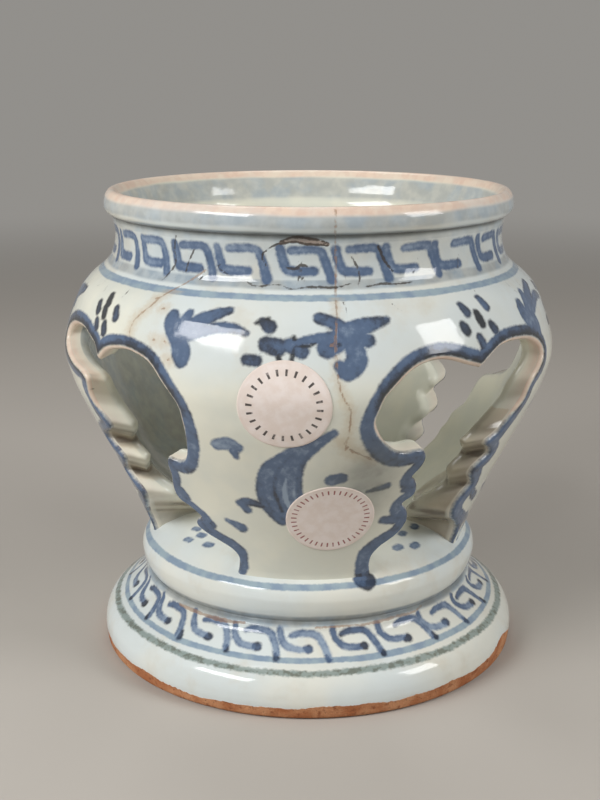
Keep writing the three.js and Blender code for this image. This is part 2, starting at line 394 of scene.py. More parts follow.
# The edge that a leg of this stand usually has: degrees from its middle, and height
USUAL_FOOT = (
    (20.9, 30.0), (20.8, DRUM_LINE), (21.2, 39.5), (22.4, 43.4), (26.4, 46.6), (31.4, 49.8),
    (33.8, 53.2), (34.0, 56.2), (32.4, 59.4), (29.8, 61.7), (31.6, 64.0), (34.0, 66.4), (34.2, 68.8),
    (31.6, 70.9), (29.2, 72.4), (30.8, 74.6), (34.0, 76.8),
)
USUAL_LOBE = (
    (34.4, 78.8), (31.8, 80.4), (28.6, 81.6), (25.6, 84.2), (23.2, 88.0), (21.6, 92.5), (21.4, 95.8),
    (22.2, 99.2), (24.0, 102.1), (26.3, 104.9), (28.7, 107.0), (31.6, 108.3), (34.7, 108.7),
    (38.0, 108.0), (41.5, 106.2), (45.0, 104.4),
)
USUAL_EDGE = USUAL_FOOT + USUAL_LOBE
FRONT_RIGHT_EDGE = (
    (28.6, 30.0), (28.4, DRUM_LINE), (27.2, 40.6), (27.4, 44.3), (29.4, 47.2), (32.0, 49.2),
    (34.5, 51.4), (36.0, 54.2), (36.3, 56.5), (35.2, 59.5), (32.9, 62.5), (35.2, 64.6), (35.9, 66.6),
    (35.1, 69.5), (33.3, 71.6), (33.3, 73.0), (34.3, 74.6), (35.1, 77.0), (34.9, 79.1), (33.8, 81.0),
    (31.9, 81.4), (28.7, 81.2), (26.0, 82.3), (23.2, 85.5), (21.4, 89.1), (20.6, 92.5), (21.2, 95.8),
    (22.1, 99.2),
) + USUAL_LOBE[8:14] + (
    (41.5, 106.4), (45.2, 104.8),
)
FRONT_LEFT_EDGE = (
    (18.6, 30.0), (18.4, DRUM_LINE), (17.0, 39.8), (16.4, 43.2), (18.0, 45.9), (21.6, 48.0),
    (26.0, 50.2), (28.5, 52.4), (28.4, 54.2), (25.9, 56.1), (28.4, 59.0), (31.4, 60.8), (32.6, 63.4),
    (32.1, 66.8), (30.8, 70.8), (30.4, 74.4), (29.2, 76.4), (27.2, 76.2), (25.0, 76.2), (23.4, 78.0),
    (22.2, 81.4), (21.4, 86.0), (21.1, 90.3), (21.5, 95.5), (23.2, 99.1), (25.4, 102.5), (27.8, 105.6),
    (30.6, 107.5), (35.2, 108.7), (38.9, 108.5), (42.7, 107.1), (45.2, 103.7),
)
# The legs at the sides and the back were cut freely, each edge in its own way
RIGHT_LEG_LEFT_EDGE = USUAL_FOOT + (
    (34.6, 78.6), (31.2, 80.4), (29.6, 83.2), (27.8, 86.5), (25.9, 90.0), (25.4, 93.2), (24.2, 96.4),
    (21.4, 99.2), (19.2, 101.8), (19.2, 104.2), (21.6, 106.8), (25.5, 108.6), (30.1, 109.5),
    (33.8, 109.7), (37.4, 109.2), (40.9, 107.5), (44.8, 104.8),
)
RIGHT_LEG_RIGHT_EDGE = USUAL_FOOT[:6] + (
    (34.4, 53.0), (35.6, 56.2), (35.2, 59.2), (35.8, 62.0), (34.6, 64.8), (34.4, 67.6), (32.6, 70.0),
    (30.0, 72.6), (28.8, 76.2), (27.6, 79.8), (25.8, 82.4), (21.0, 84.6), (16.4, 86.6), (13.0, 89.4),
    (11.4, 92.3), (11.0, 95.4), (12.0, 99.0), (14.4, 102.6), (18.6, 106.0), (24.0, 108.3),
    (30.6, 108.9), (38.0, 107.6), (45.0, 104.4),
)
LEFT_LEG_RIGHT_EDGE = USUAL_FOOT[:4] + (
    (26.4, 46.6), (31.6, 50.2), (35.8, 54.0), (36.6, 57.2), (32.6, 59.8), (28.2, 61.6), (31.8, 64.6),
    (35.6, 67.4), (36.0, 69.8), (31.6, 71.6), (29.4, 73.2), (31.2, 75.4), (35.6, 77.8), (39.8, 80.0),
    (40.8, 82.0), (39.4, 84.4), (37.6, 87.6), (37.4, 91.0), (38.4, 94.0), (38.8, 96.4), (36.4, 98.6),
    (30.6, 99.8), (24.4, 101.8), (21.0, 104.4), (22.2, 107.6), (26.0, 109.8), (30.4, 110.6),
    (34.6, 110.5), (38.8, 109.1), (42.5, 107.1), (44.8, 103.7),
)
BACK_LEG_LEFT_EDGE = USUAL_FOOT[:4] + (
    (28.0, 46.4), (35.0, 49.6), (39.4, 53.0), (40.4, 55.8), (38.4, 58.4), (38.6, 60.6), (41.6, 63.2),
    (42.4, 65.8), (40.8, 68.2), (38.8, 70.2), (39.8, 72.2), (41.4, 74.4), (41.0, 77.0), (38.0, 79.4),
    (33.6, 81.4),
) + USUAL_LOBE[3:]


@dataclass(frozen=True)
class LegCut:
    """How one leg was cut: where its middle stands and its two edges."""

    node: str
    middle: float
    right: tuple = USUAL_EDGE
    left: tuple = USUAL_EDGE


LEG_CUTS = (
    LegCut("leg_front", 0.0, FRONT_RIGHT_EDGE, FRONT_LEFT_EDGE),
    LegCut("leg_right", 90.0, RIGHT_LEG_RIGHT_EDGE, RIGHT_LEG_LEFT_EDGE),
    LegCut("leg_back", 180.0, left=BACK_LEG_LEFT_EDGE),
    LegCut("leg_left", -90.0, right=LEFT_LEG_RIGHT_EDGE),
)


class Window:
    """One cut opening, as a closed outline laid flat on the wall round its middle."""

    SPAN = 62.0
    PORTION = 4000
    AWAY = 99.0

    def __init__(self, near: LegCut, far: LegCut) -> None:
        """Lays out the opening between two legs.

        Args:
            near: the leg whose right edge bounds it.
            far: the next leg, whose left edge bounds it.
        """
        self.middle = near.middle + 45.0
        up = spline([(near.middle + a - self.middle, z) for a, z in near.right])
        gap = wrap(far.middle - self.middle)
        down = spline([(gap - a, z) for a, z in far.left])[::-1]
        line = np.vstack([up, down[1:]])
        self.outline = self.flat(line[:, 0], line[:, 1])

    @staticmethod
    def flat(turn: np.ndarray, height: np.ndarray) -> np.ndarray:
        """Lays places flat: x = radius * turn in radians, y = distance up the wall."""
        return np.stack([OUTER.radius(height) * np.radians(turn), OUTER.run(height)], axis=-1)

    def depth(self, phi: np.ndarray, height: np.ndarray) -> np.ndarray:
        """Measures how far places lie from the opening.

        The distance is that to the nearest piece of the outline. Its sign is negative where a
        line drawn from the place to the right crosses the outline an odd number of times.

        Args:
            phi: angles in degrees.
            height: heights in mm.

        Returns:
            Distances in mm, negative inside the opening and large far away from it.
        """
        turn = wrap(phi - self.middle)
        depth = np.full(turn.shape, self.AWAY)
        near = np.abs(turn) < self.SPAN
        spots = self.flat(turn[near], height[near])
        for start in range(0, len(spots), self.PORTION):
            portion = slice(start, start + self.PORTION)
            spots[portion, 0] = self._signed(spots[portion])
        depth[near] = spots[:, 0]
        return depth

    def _signed(self, spots: np.ndarray) -> np.ndarray:
        """Measures one portion of places against all pieces of the outline.

        Args:
            spots: flat places.

        Returns:
            Their distances from the outline, negative inside it.
        """
        a = self.outline
        b = np.roll(a, -1, axis=0)
        way = b - a
        reach = nearest(spots, a, way)[0].min(axis=1)
        y = spots[:, 1:]
        spans = (a[:, 1] > y) != (b[:, 1] > y)
        rise = np.where(way[:, 1] == 0, 1, way[:, 1])
        cross = a[:, 0] + (y - a[:, 1]) * way[:, 0] / rise
        inside = (spans & (spots[:, :1] < cross)).sum(axis=1) % 2 == 1
        return np.where(inside, -reach, reach)


WINDOWS = tuple(Window(cut, LEG_CUTS[(i + 1) % 4]) for i, cut in enumerate(LEG_CUTS))


def cut_depth(phi: np.ndarray, height: np.ndarray) -> np.ndarray:
    """Measures how far places on the wall lie from the nearest window."""
    return np.min([window.depth(phi, height) for window in WINDOWS], axis=0)


@dataclass(frozen=True)
class Swell:
    """A place where the inner skin comes forward, so that the cut slants and shows its face.

    The skin moves by along and up mm over the wall and by inward mm towards the axis, less
    and less away from the place: by exp(-(x / wide)^2 - (y / tall)^2) of it.
    """

    phi: float
    height: float
    wide: float
    tall: float
    along: float
    up: float
    inward: float


SWELLS = (
    Swell(30.0, 81.5, 10.0, 6.5, 0.5, 3.2, 1.0),
    Swell(-25.5, 76.5, 9.0, 6.0, -0.5, 3.2, 1.0),
    Swell(-57.0, 80.0, 13.0, 15.0, 2.5, 0.0, 2.5),
    Swell(60.0, 76.0, 13.0, 15.0, -2.0, 0.0, 2.0),
    Swell(121.0, 80.0, 9.0, 6.0, 0.3, 2.0, 0.8),
    Swell(146.0, 80.0, 9.0, 6.0, -0.3, 2.0, 0.8),
    Swell(-149.0, 80.0, 9.0, 6.0, 0.3, 2.0, 0.8),
    Swell(-121.0, 80.0, 9.0, 6.0, -0.3, 2.0, 0.8),
)


def swollen(phi: np.ndarray, height: np.ndarray) -> tuple[np.ndarray, np.ndarray, np.ndarray]:
    """Moves places of the inner skin by all swells.

    Args:
        phi: angles in degrees.
        height: heights in mm.

    Returns:
        The new angles and heights, and how far each place comes inward.
    """
    along, up, inward = np.zeros((3,) + phi.shape)
    for swell in SWELLS:
        x = np.radians(wrap(phi - swell.phi)) * OUTER.radius(height)
        y = OUTER.run(height) - OUTER.run(swell.height)
        share = np.exp(-((x / swell.wide) ** 2) - (y / swell.tall) ** 2)
        along += share * swell.along
        up += share * swell.up
        inward += share * swell.inward
    risen = OUTER.height_at(OUTER.run(height) + up)
    return phi + np.degrees(along / INNER.radius(height)), risen, inward


# Sheets with openings

# For each pattern of cell corners inside the wall: the polygons kept.
# Corners 0 to 3 run counterclockwise from the lower left, sides 4 to 7 from the bottom side.
KEPT = {
    1: ((0, 4, 7),),
    2: ((1, 5, 4),),
    3: ((0, 1, 5, 7),),
    4: ((2, 6, 5),),
    5: ((0, 4, 7), (2, 6, 5)),
    6: ((1, 2, 6, 4),),
    7: ((0, 1, 2, 6), (0, 6, 7)),
    8: ((3, 7, 6),),
    9: ((0, 4, 6, 3),),
    10: ((1, 5, 4), (3, 7, 6)),
    11: ((0, 1, 5, 6), (0, 6, 3)),
    12: ((2, 3, 7, 5),),
    13: ((0, 4, 5, 2), (0, 2, 3)),
    14: ((1, 2, 3, 7), (1, 7, 4)),
    15: ((0, 1, 2, 3),),
}
# The cut runs between neighbouring sides of a polygon
CUTS = {
    case: [pair for shape in shapes for pair in zip(shape, shape[1:]) if min(pair) > 3]
    for case, shapes in KEPT.items()
}
# The part of a cell's bottom and top side that bounds the sheet, by its two corners
BOTTOM_SIDE = {1: (0, 4), 2: (4, 1), 3: (0, 1)}
TOP_SIDE = {1: (2, 6), 2: (6, 3), 3: (2, 3)}


class PiercedSheet:
    """The flat net of a wall with windows: a grid of angles and heights, cut where depth is 0."""

    KEEP_OFF = 0.04

    def __init__(self, phi: np.ndarray, height: np.ndarray, closed: bool) -> None:
        """Cuts the grid.

        Args:
            phi: evenly spaced angles of the columns.
            height: heights of the rows, rising.
            closed: whether the last column joins the first one.
        """
        rows, columns = len(height), len(phi)
        grid_phi, grid_height = np.meshgrid(phi, height)
        depth = cut_depth(grid_phi, grid_height)
        across, step = np.roll(depth, -1, axis=1), phi[1] - phi[0]
        span = 2 * np.radians(step) * OUTER.radius(grid_height)
        slants = ((across - np.roll(depth, 1, axis=1)) / span, np.gradient(depth, OUTER.run(height), axis=0))
        # Where a side is crossed, at the share of it where the depth passes 0
        share_x = self._share(depth, across)
        share_y = self._share(depth[:-1], depth[1:])
        self.phi = self._joined(grid_phi, grid_phi + share_x * step, grid_phi[:-1])
        between_rows = self._between(grid_height[:-1], grid_height[1:], share_y)
        self.height = self._joined(grid_height, grid_height, between_rows)
        self.depth = self._joined(depth, np.zeros(rows * columns), np.zeros((rows - 1) * columns))
        slant = []
        for s in slants:
            on_level = self._between(s, np.roll(s, -1, axis=1), share_x)
            slant.append(self._joined(s, on_level, self._between(s[:-1], s[1:], share_y)))
        self.slant = np.stack(slant, axis=-1)
        self._number(depth > 0, closed)

    @staticmethod
    def _between(low: np.ndarray, high: np.ndarray, share: np.ndarray) -> np.ndarray:
        """Reads values at a share of the way from low to high."""
        return low + share * (high - low)

    @staticmethod
    def _joined(at_corners: np.ndarray, on_level: np.ndarray, on_upright: np.ndarray) -> np.ndarray:
        """Joins the values at corners, on level sides and on upright sides in one row."""
        return np.concatenate([at_corners.ravel(), on_level.ravel(), on_upright.ravel()])

    def _share(self, low: np.ndarray, high: np.ndarray) -> np.ndarray:
        """Finds where between two depths 0 is passed, kept a little off both ends."""
        fall = np.where(low == high, 1, low - high)
        return np.clip(low / fall, self.KEEP_OFF, 1 - self.KEEP_OFF)

    def _number(self, inside: np.ndarray, closed: bool) -> None:
        """Finds the faces, the cut sides and the level sides, then drops unused points.

        Args:
            inside: whether each corner of the grid lies inside the wall.
            closed: whether the last column joins the first one.
        """
        rows, columns = inside.shape
        cells = columns if closed else columns - 1
        i, j = np.meshgrid(np.arange(rows - 1), np.arange(cells), indexing="ij")
        k = (j + 1) % columns
        count = rows * columns
        corner = [(i, j), (i, k), (i + 1, k), (i + 1, j)]
        ids = [a * columns + b for a, b in corner]
        ids += [count + i * columns + j, 2 * count + i * columns + k]
        ids += [count + (i + 1) * columns + j, 2 * count + i * columns + j]
        ids = np.stack(ids, axis=-1)
        case = sum(inside[a, b].astype(int) << n for n, (a, b) in enumerate(corner))
        self.quads, self.triangles = self._picked(ids, case, KEPT, 4), self._picked(ids, case, KEPT, 3)
        cuts = self._picked(ids, case, CUTS, 2)
        bottom, top = case[0] & 3, case[-1] >> 2
        level = [ids[0][bottom == key][:, list(side)] for key, side in BOTTOM_SIDE.items()]
        level += [ids[-1][top == key][:, list(side)] for key, side in TOP_SIDE.items()]
        used = np.unique(np.concatenate([self.quads.ravel(), self.triangles.ravel()]))
        renumber = np.zeros(ids.max() + 1, int)
        renumber[used] = np.arange(len(used))
        self.quads, self.triangles = renumber[self.quads], renumber[self.triangles]
        self.sides = renumber[np.concatenate([cuts, *level])]
        fields = (self.phi, self.height, self.depth, self.slant)
        self.phi, self.height, self.depth, self.slant = (field[used] for field in fields)

    @staticmethod
    def _picked(ids: np.ndarray, case: np.ndarray, table: dict, size: int) -> np.ndarray:
        """Picks the shapes of one size that a table gives for the cells.

        Args:
            ids: the numbers of each cell's corners and sides.
            case: the pattern of each cell.
            table: shapes by pattern.
            size: how many points the wanted shapes have.

        Returns:
            Rows of point numbers.
        """
        shapes = [(key, list(shape)) for key, row in table.items() for shape in row if len(shape) == size]
        return np.concatenate([ids[case == key][:, shape] for key, shape in shapes])


@dataclass(frozen=True)
class CutEdge:
    """How far the glaze rounds the corners of the cut, and how many rows cross the cut face."""

    outer_round: float = 1.5
    inner_round: float = 2.8
    rows: int = 8


def pierced(name: str, phi: np.ndarray, height: np.ndarray, closed: bool, edge: CutEdge) -> MeshMaker:
    """Makes a piece of the wall with its share of the windows.

    The outer and inner skins are the same flat net at the outer and the inner radius. Within the
    rounding d0 of a window at depth d, a skin sinks by d0 - sqrt(d0^2 - (d0 - d)^2) along its normal
    and the normal leans to the window by k = (d0 - d) / d0. Straight rows join the two skins.

    Args:
        name: the object's name.
        phi: evenly spaced angles of the columns.
        height: heights of the rows.
        closed: whether the last column joins the first one.
        edge: the roundings and the rows across the cut.

    Returns:
        A mesh maker whose paint holds "depth" and "inward", the share of the way through the wall.
    """
    sheet = PiercedSheet(phi, height, closed)
    skins, normals = [], []
    places = ((sheet.phi, sheet.height, 0.0), swollen(sheet.phi, sheet.height))
    walls = ((OUTER, 1, edge.outer_round), (INNER, -1, edge.inner_round))
    for (wall, facing, rounding), (phi_of, height_of, inward) in zip(walls, places):
        a = np.radians(phi_of)
        along = np.stack([np.cos(a), np.sin(a), 0 * a], axis=-1)
        straight = wall.normal(phi_of, height_of)
        up = np.cross(straight, along)
        lean = -(along * sheet.slant[:, :1] + up * sheet.slant[:, 1:])
        lean /= np.maximum(np.linalg.norm(lean, axis=-1, keepdims=True), SHORT)
        k = np.clip(1 - sheet.depth / rounding, 0, 1)[:, None]
        sink = rounding * (1 - np.sqrt(1 - k**2))
        skins.append(placed(phi_of, wall.radius(height_of) - inward, height_of) - facing * straight * sink)
        normals.append(facing * straight * np.sqrt(1 - k**2) + lean * k)
    maker = MeshMaker(name)
    count = len(sheet.phi)
    maker.add_points(skins[0])
    maker.add_points(skins[1])
    maker.faces += [sheet.quads, sheet.triangles]
    maker.faces += [sheet.quads[:, ::-1] + count, sheet.triangles[:, ::-1] + count]
    ring = np.unique(sheet.sides)
    place = np.zeros(count, int)
    place[ring] = np.arange(len(ring))
    shares = np.linspace(0, 1, edge.rows + 1)[1:-1]
    rows = [skins[0][ring] * (1 - s) + skins[1][ring] * s for s in shares]
    start = maker.add_points(np.concatenate(rows))
    between = start + np.arange(len(shares) * len(ring)).reshape(len(shares), -1)
    layers = [ring, *between, ring + count]
    first, second = place[sheet.sides[:, 0]], place[sheet.sides[:, 1]]
    for outer, inner in zip(layers, layers[1:]):
        maker.faces.append(np.stack([outer[second], outer[first], inner[first], inner[second]], axis=-1))
    tiles = len(shares)
    side = (normals[0][ring] + normals[1][ring]) / 2
    side /= np.maximum(np.linalg.norm(side, axis=-1, keepdims=True), SHORT)
    maker.normals = np.concatenate([normals[0], normals[1], np.tile(side, (tiles, 1))])
    cut_rows = np.repeat(shares, len(ring))
    maker.paint["depth"] = np.concatenate([sheet.depth, sheet.depth, np.tile(sheet.depth[ring], tiles)])
    maker.paint["inward"] = np.concatenate([np.zeros(count), np.ones(count), cut_rows])
    return maker


# The stand's pieces


@dataclass(frozen=True)
class FootRing:
    """The unglazed foot that the stand rests on: a low ring with worn corners. Sizes in mm."""

    edge: float = 69.05
    sole: float = 68.3
    inner: float = 60.0
    top: float = 4.4
    bevel: float = 1.0
    step: float = 0.7

    def build(self) -> bpy.types.Object:
        """Turns the ring, from its sole's outer corner up and round.

        Returns:
            The ring.
        """
        middle = (self.edge + self.inner) / 2
        outer = rounded((self.sole, 0), (middle, 0), (self.edge, self.top / 2), self.bevel)
        side = even(np.array([outer[-1], (self.edge, self.top)]), self.step)
        top = even(np.array([(self.edge, self.top), (self.inner, self.top)]), self.step)
        inner = rounded((self.inner, 0), (self.inner, self.top), (middle, 0), self.bevel)
        sole = even(np.array([inner[-1], outer[0]]), self.step)
        outline = np.vstack([outer, side[1:], top[1:], inner, sole[1:-1]])
        maker = turned("foot_ring", outline)
        maker.paint.update(Decoration.foot(maker.places(np.zeros(len(maker.points)))))
        return maker.build()


@dataclass(frozen=True)
class TurnedSection:
    """A thrown section of the stand: its outer line up, its inner line down, hidden flat joints.

    The lines are rows of radius and height, and the steps space their rows. All in mm.
    """

    name: str
    outer: tuple
    inner: tuple
    outer_step: float = 0.45
    inner_step: float = 1.2
    cap_step: float = 2.5

    def build(self) -> bpy.types.Object:
        """Turns the section and paints it.

        Returns:
            The section.
        """
        outer = even(spline(self.outer), self.outer_step)
        inner = even(spline(self.inner), self.inner_step)
        top = even(np.array([outer[-1], inner[0]]), self.cap_step)[1:-1]
        bottom = even(np.array([inner[-1], outer[0]]), self.cap_step)[1:-1]
        if np.allclose(outer[-1], inner[0]):
            top, inner = top[:0], inner[1:]
        outline = np.vstack([outer, top, inner, bottom])
        maker = turned(self.name, outline)
        rows = np.r_[np.zeros(len(outer)), np.ones(len(outline) - len(outer))]
        maker.paint.update(Decoration.turned(self, maker.places(np.repeat(rows, COLUMNS))))
        return maker.build()


PLINTH = TurnedSection(
    "base_plinth",
    outer=(
        (69.05, 4.4), (69.05, 5.6), (68.7, 8.0), (67.6, 10.5), (65.9, 12.5), (63.5, 14.0), (60.7, 16.0),
        (58.2, 18.0), (56.0, 20.0), (54.9, 21.6), (54.7, 22.6), (54.0, 23.3), (53.3, 24.1),
    ),
    inner=((45.2, 24.1), (54.5, 15.0), (58.5, 4.4)),
)
NECK = TurnedSection(
    "neck_collar",
    outer=(
        (65.6, SHOULDER_LINE), (64.6, 126.0), (62.9, 128.0), (61.7, 131.0), (61.1, 134.0),
        (61.1, 137.0), (61.5, 139.5), (61.6, 141.3),
    ),
    inner=((56.9, 141.3), (54.9, 134.3), (59.0, SHOULDER_LINE)),
    outer_step=0.4,
)
LIP = TurnedSection(
    "lip_ring",
    outer=(
        (61.9, 141.3), (63.1, 141.9), (64.1, 143.2), (64.3, 144.9), (63.9, 146.7), (63.3, 147.9),
        (62.6, 148.7), (61.7, 148.98),
    ),
    inner=((61.7, 148.98), (60.9, 148.7), (60.0, 147.8), (58.5, 145.4), (56.9, 141.3)),
    outer_step=0.35,
    inner_step=0.5,
)


@dataclass(frozen=True)
class WaistDrum:
    """The waisted drum between the foot and the legs, closed by the floor of the well. Sizes in mm."""

    wall: tuple = (
        (53.3, 24.1), (53.6, 24.8), (54.4, 25.9), (55.4, 28.2), (55.9, 31.0), (55.8, 32.4),
        (55.4, 33.8), (54.75, 35.0), (54.1, DRUM_LINE),
    )
    dome: tuple = ((54.1, DRUM_LINE), (52.0, 37.4), (46.3, 40.7), (35.4, 43.5), (0.0, 46.3))
    hollow: tuple = ((0.0, 39.3), (31.5, 35.7), (45.0, 32.2))
    hollow_radius: float = 45.0
    foot: float = 24.1
    wall_step: float = 0.45
    dome_step: float = 0.9
    hollow_step: float = 2.2

    def build(self) -> bpy.types.Object:
        """Turns the drum from the middle of its hollow, round its wall, to the top of its dome.

        Returns:
            The drum.
        """
        under = even(spline(self.hollow), self.hollow_step)
        under[0, 0] = 0
        inner_foot = (self.hollow_radius, self.foot)
        inside = even(np.array([(self.hollow_radius, self.hollow[-1][1]), inner_foot]), self.hollow_step)
        joint = even(np.array([inner_foot, self.wall[0]]), self.hollow_step)
        wall = even(spline(self.wall), self.wall_step)
        dome = even(spline(self.dome), self.dome_step)
        outline = np.vstack([under, inside[1:], joint[1:], wall[1:], dome[1:]])
        outline[-1, 0] = 0
        maker = turned("waist_drum", outline)
        hidden = len(under) + len(inside) + len(joint) - 4
        rows = np.r_[np.ones(hidden), np.zeros(len(outline) - 2 - hidden)]
        maker.paint.update(Decoration.drum(self, maker.places(np.r_[np.repeat(rows, COLUMNS), 1, 0])))
        return maker.build()


@dataclass(frozen=True)
class PiercedBody:
    """The bulging wall with its four windows: four legs, and the shoulder band above them.

    The steps space its rows in mm, and the edge rounds its cuts.
    """

    leg_step: float = 0.5
    shoulder_step: float = 0.62
    edge: CutEdge = CutEdge()

    @staticmethod
    def rows(low: float, high: float, step: float) -> np.ndarray:
        """Spaces heights between low and high, about a step apart along the wall."""
        start, end = OUTER.run(low), OUTER.run(high)
        return OUTER.height_at(np.linspace(start, end, int(round((end - start) / step)) + 1))

    def leg(self, cut: LegCut) -> bpy.types.Object:
        """Builds one leg.

        Args:
            cut: where it stands and how it was cut.

        Returns:
            The leg.
        """
        phi = cut.middle + (np.arange(QUARTER + 1) - QUARTER // 2) * 360 / COLUMNS
        rows = self.rows(DRUM_LINE, LEG_TOP, self.leg_step)
        return self._finished(pierced(cut.node, phi, rows, False, self.edge))

    def shoulder(self) -> bpy.types.Object:
        """Builds the shoulder band round the tops of the windows.

        Returns:
            The band.
        """
        phi = np.arange(COLUMNS) * 360 / COLUMNS
        rows = self.rows(LEG_TOP, SHOULDER_LINE, self.shoulder_step)
        return self._finished(pierced("shoulder_band", phi, rows, True, self.edge))

    @staticmethod
    def _finished(maker: MeshMaker) -> bpy.types.Object:
        """Paints a pierced piece and makes its object."""
        maker.paint.update(Decoration.body(maker.places(maker.paint["inward"]), maker.paint["depth"]))
        return maker.build()


@dataclass(frozen=True)
class Label:
    """A round paper label pasted on the front leg: its place on the wall, and its sizes in mm."""

    name: str
    phi: float
    height: float
    radius: float = 12.9
    bevel: float = 0.1
    middle: float = 0.5
    lift: float = 0.06
    thickness: float = 0.2
    edge_share: float = 0.45
    rings: int = 30
    columns: int = 180

    def build(self) -> bpy.types.Object:
        """Lays rings of a disc on the wall.

        A point at x and y mm from the middle of the flat disc lies at the wall's height whose run
        is y further up, turned from the middle by x over the radius there. The upper skin is a
        thickness above the lower one, and its last ring turns down to it.

        Returns:
            The label, with its flat places x and y as attributes.
        """
        reach = np.r_[np.linspace(self.middle, self.radius - self.bevel, self.rings), self.radius]
        turn = np.arange(self.columns) * 2 * math.pi / self.columns
        x = (reach[:, None] * np.sin(turn)).ravel()
        y = (reach[:, None] * np.cos(turn)).ravel()
        share = np.r_[np.ones(self.rings), self.edge_share]
        rise = self.lift + self.thickness * np.repeat(share, self.columns)
        maker = MeshMaker(self.name)
        maker.add_points(self._laid(x, y, rise))
        maker.add_points(self._laid(x, y, np.full(len(x), self.lift)))
        top = np.arange(len(x)).reshape(len(reach), self.columns)
        under = top + len(x)
        maker.add_grid(top[:, ::-1])
        maker.add_grid(under)
        maker.add_grid(np.stack([under[-1], top[-1]]))
        tips = self._laid(np.zeros(2), np.zeros(2), np.array([self.lift + self.thickness, self.lift]))
        first = maker.add_points(tips)
        maker.add_fan(first, top[0][::-1])
        maker.add_fan(first + 1, under[0])
        maker.paint["flat_x"] = np.r_[x, x, 0, 0]
        maker.paint["flat_y"] = np.r_[y, y, 0, 0]
        return maker.build()

    def _laid(self, x: np.ndarray, y: np.ndarray, rise: np.ndarray) -> np.ndarray:
        """Lays flat places of the disc on the wall.

        Args:
            x: mm to the right of the disc's middle.
            y: mm above it.
            rise: mm above the wall.

        Returns:
            Points in mm.
        """
        height = OUTER.height_at(OUTER.run(self.height) + y)
        phi = self.phi + np.degrees(x / OUTER.radius(height))
        normal = OUTER.normal(phi, height)
        return placed(phi, OUTER.radius(height), height) + normal * rise[:, None]


UPPER_LABEL = Label("label_upper", 1.8, 97.6)
LOWER_LABEL = Label("label_lower", 12.6, 60.2)


# Painting

FAR = -9.0
DEPTHS = ("cobalt", "line", "green", "crack", "rust", "stain", "bare", "rim")
SHARES = ("tone", "wash", "thin", "cream", "grime")
WAVE_SUM = 1.7


def chain_depth(spots: np.ndarray, line: np.ndarray, half: np.ndarray) -> tuple[np.ndarray, np.ndarray]:
    """Measures how deep flat places lie in a brush stroke.

    For each piece of the stroke the depth is its half width, read at the nearest point of the
    piece, less the distance to that point. The stroke's depth is the greatest of these.

    Args:
        spots: N flat places.
        line: the stroke's middle line, M flat points.
        half: the stroke's half widths at these points.

    Returns:
        The depths, and how far along the stroke each nearest point lies, from 0 to 1.
    """
    gap, share = nearest(spots, line[:-1], line[1:] - line[:-1])
    depth = half[:-1] + share * (half[1:] - half[:-1]) - gap
    best = depth.argmax(axis=1)
    pick = np.arange(len(spots)), best
    return depth[pick], (best + share[pick]) / (len(line) - 1)


def wander(phi: np.ndarray, seed: int, size: float, cycles: tuple = (2, 5, 11, 19)) -> np.ndarray:
    """Strays about 0 round the stand.

    The stray is the sum over i of sin(n * angle + start) / (1 + i / 2), n the i-th number of cycles.

    Args:
        phi: angles in degrees.
        seed: chooses where the waves start.
        size: about the largest stray in mm.
        cycles: whole numbers of cycles round the stand.

    Returns:
        The stray at each angle.
    """
    starts = np.random.default_rng(seed).uniform(0, 2 * math.pi, len(cycles))
    waves = [np.sin(np.radians(phi) * n + s) / (1 + i * 0.5) for i, (n, s) in enumerate(zip(cycles, starts))]
    return size * sum(waves) / WAVE_SUM


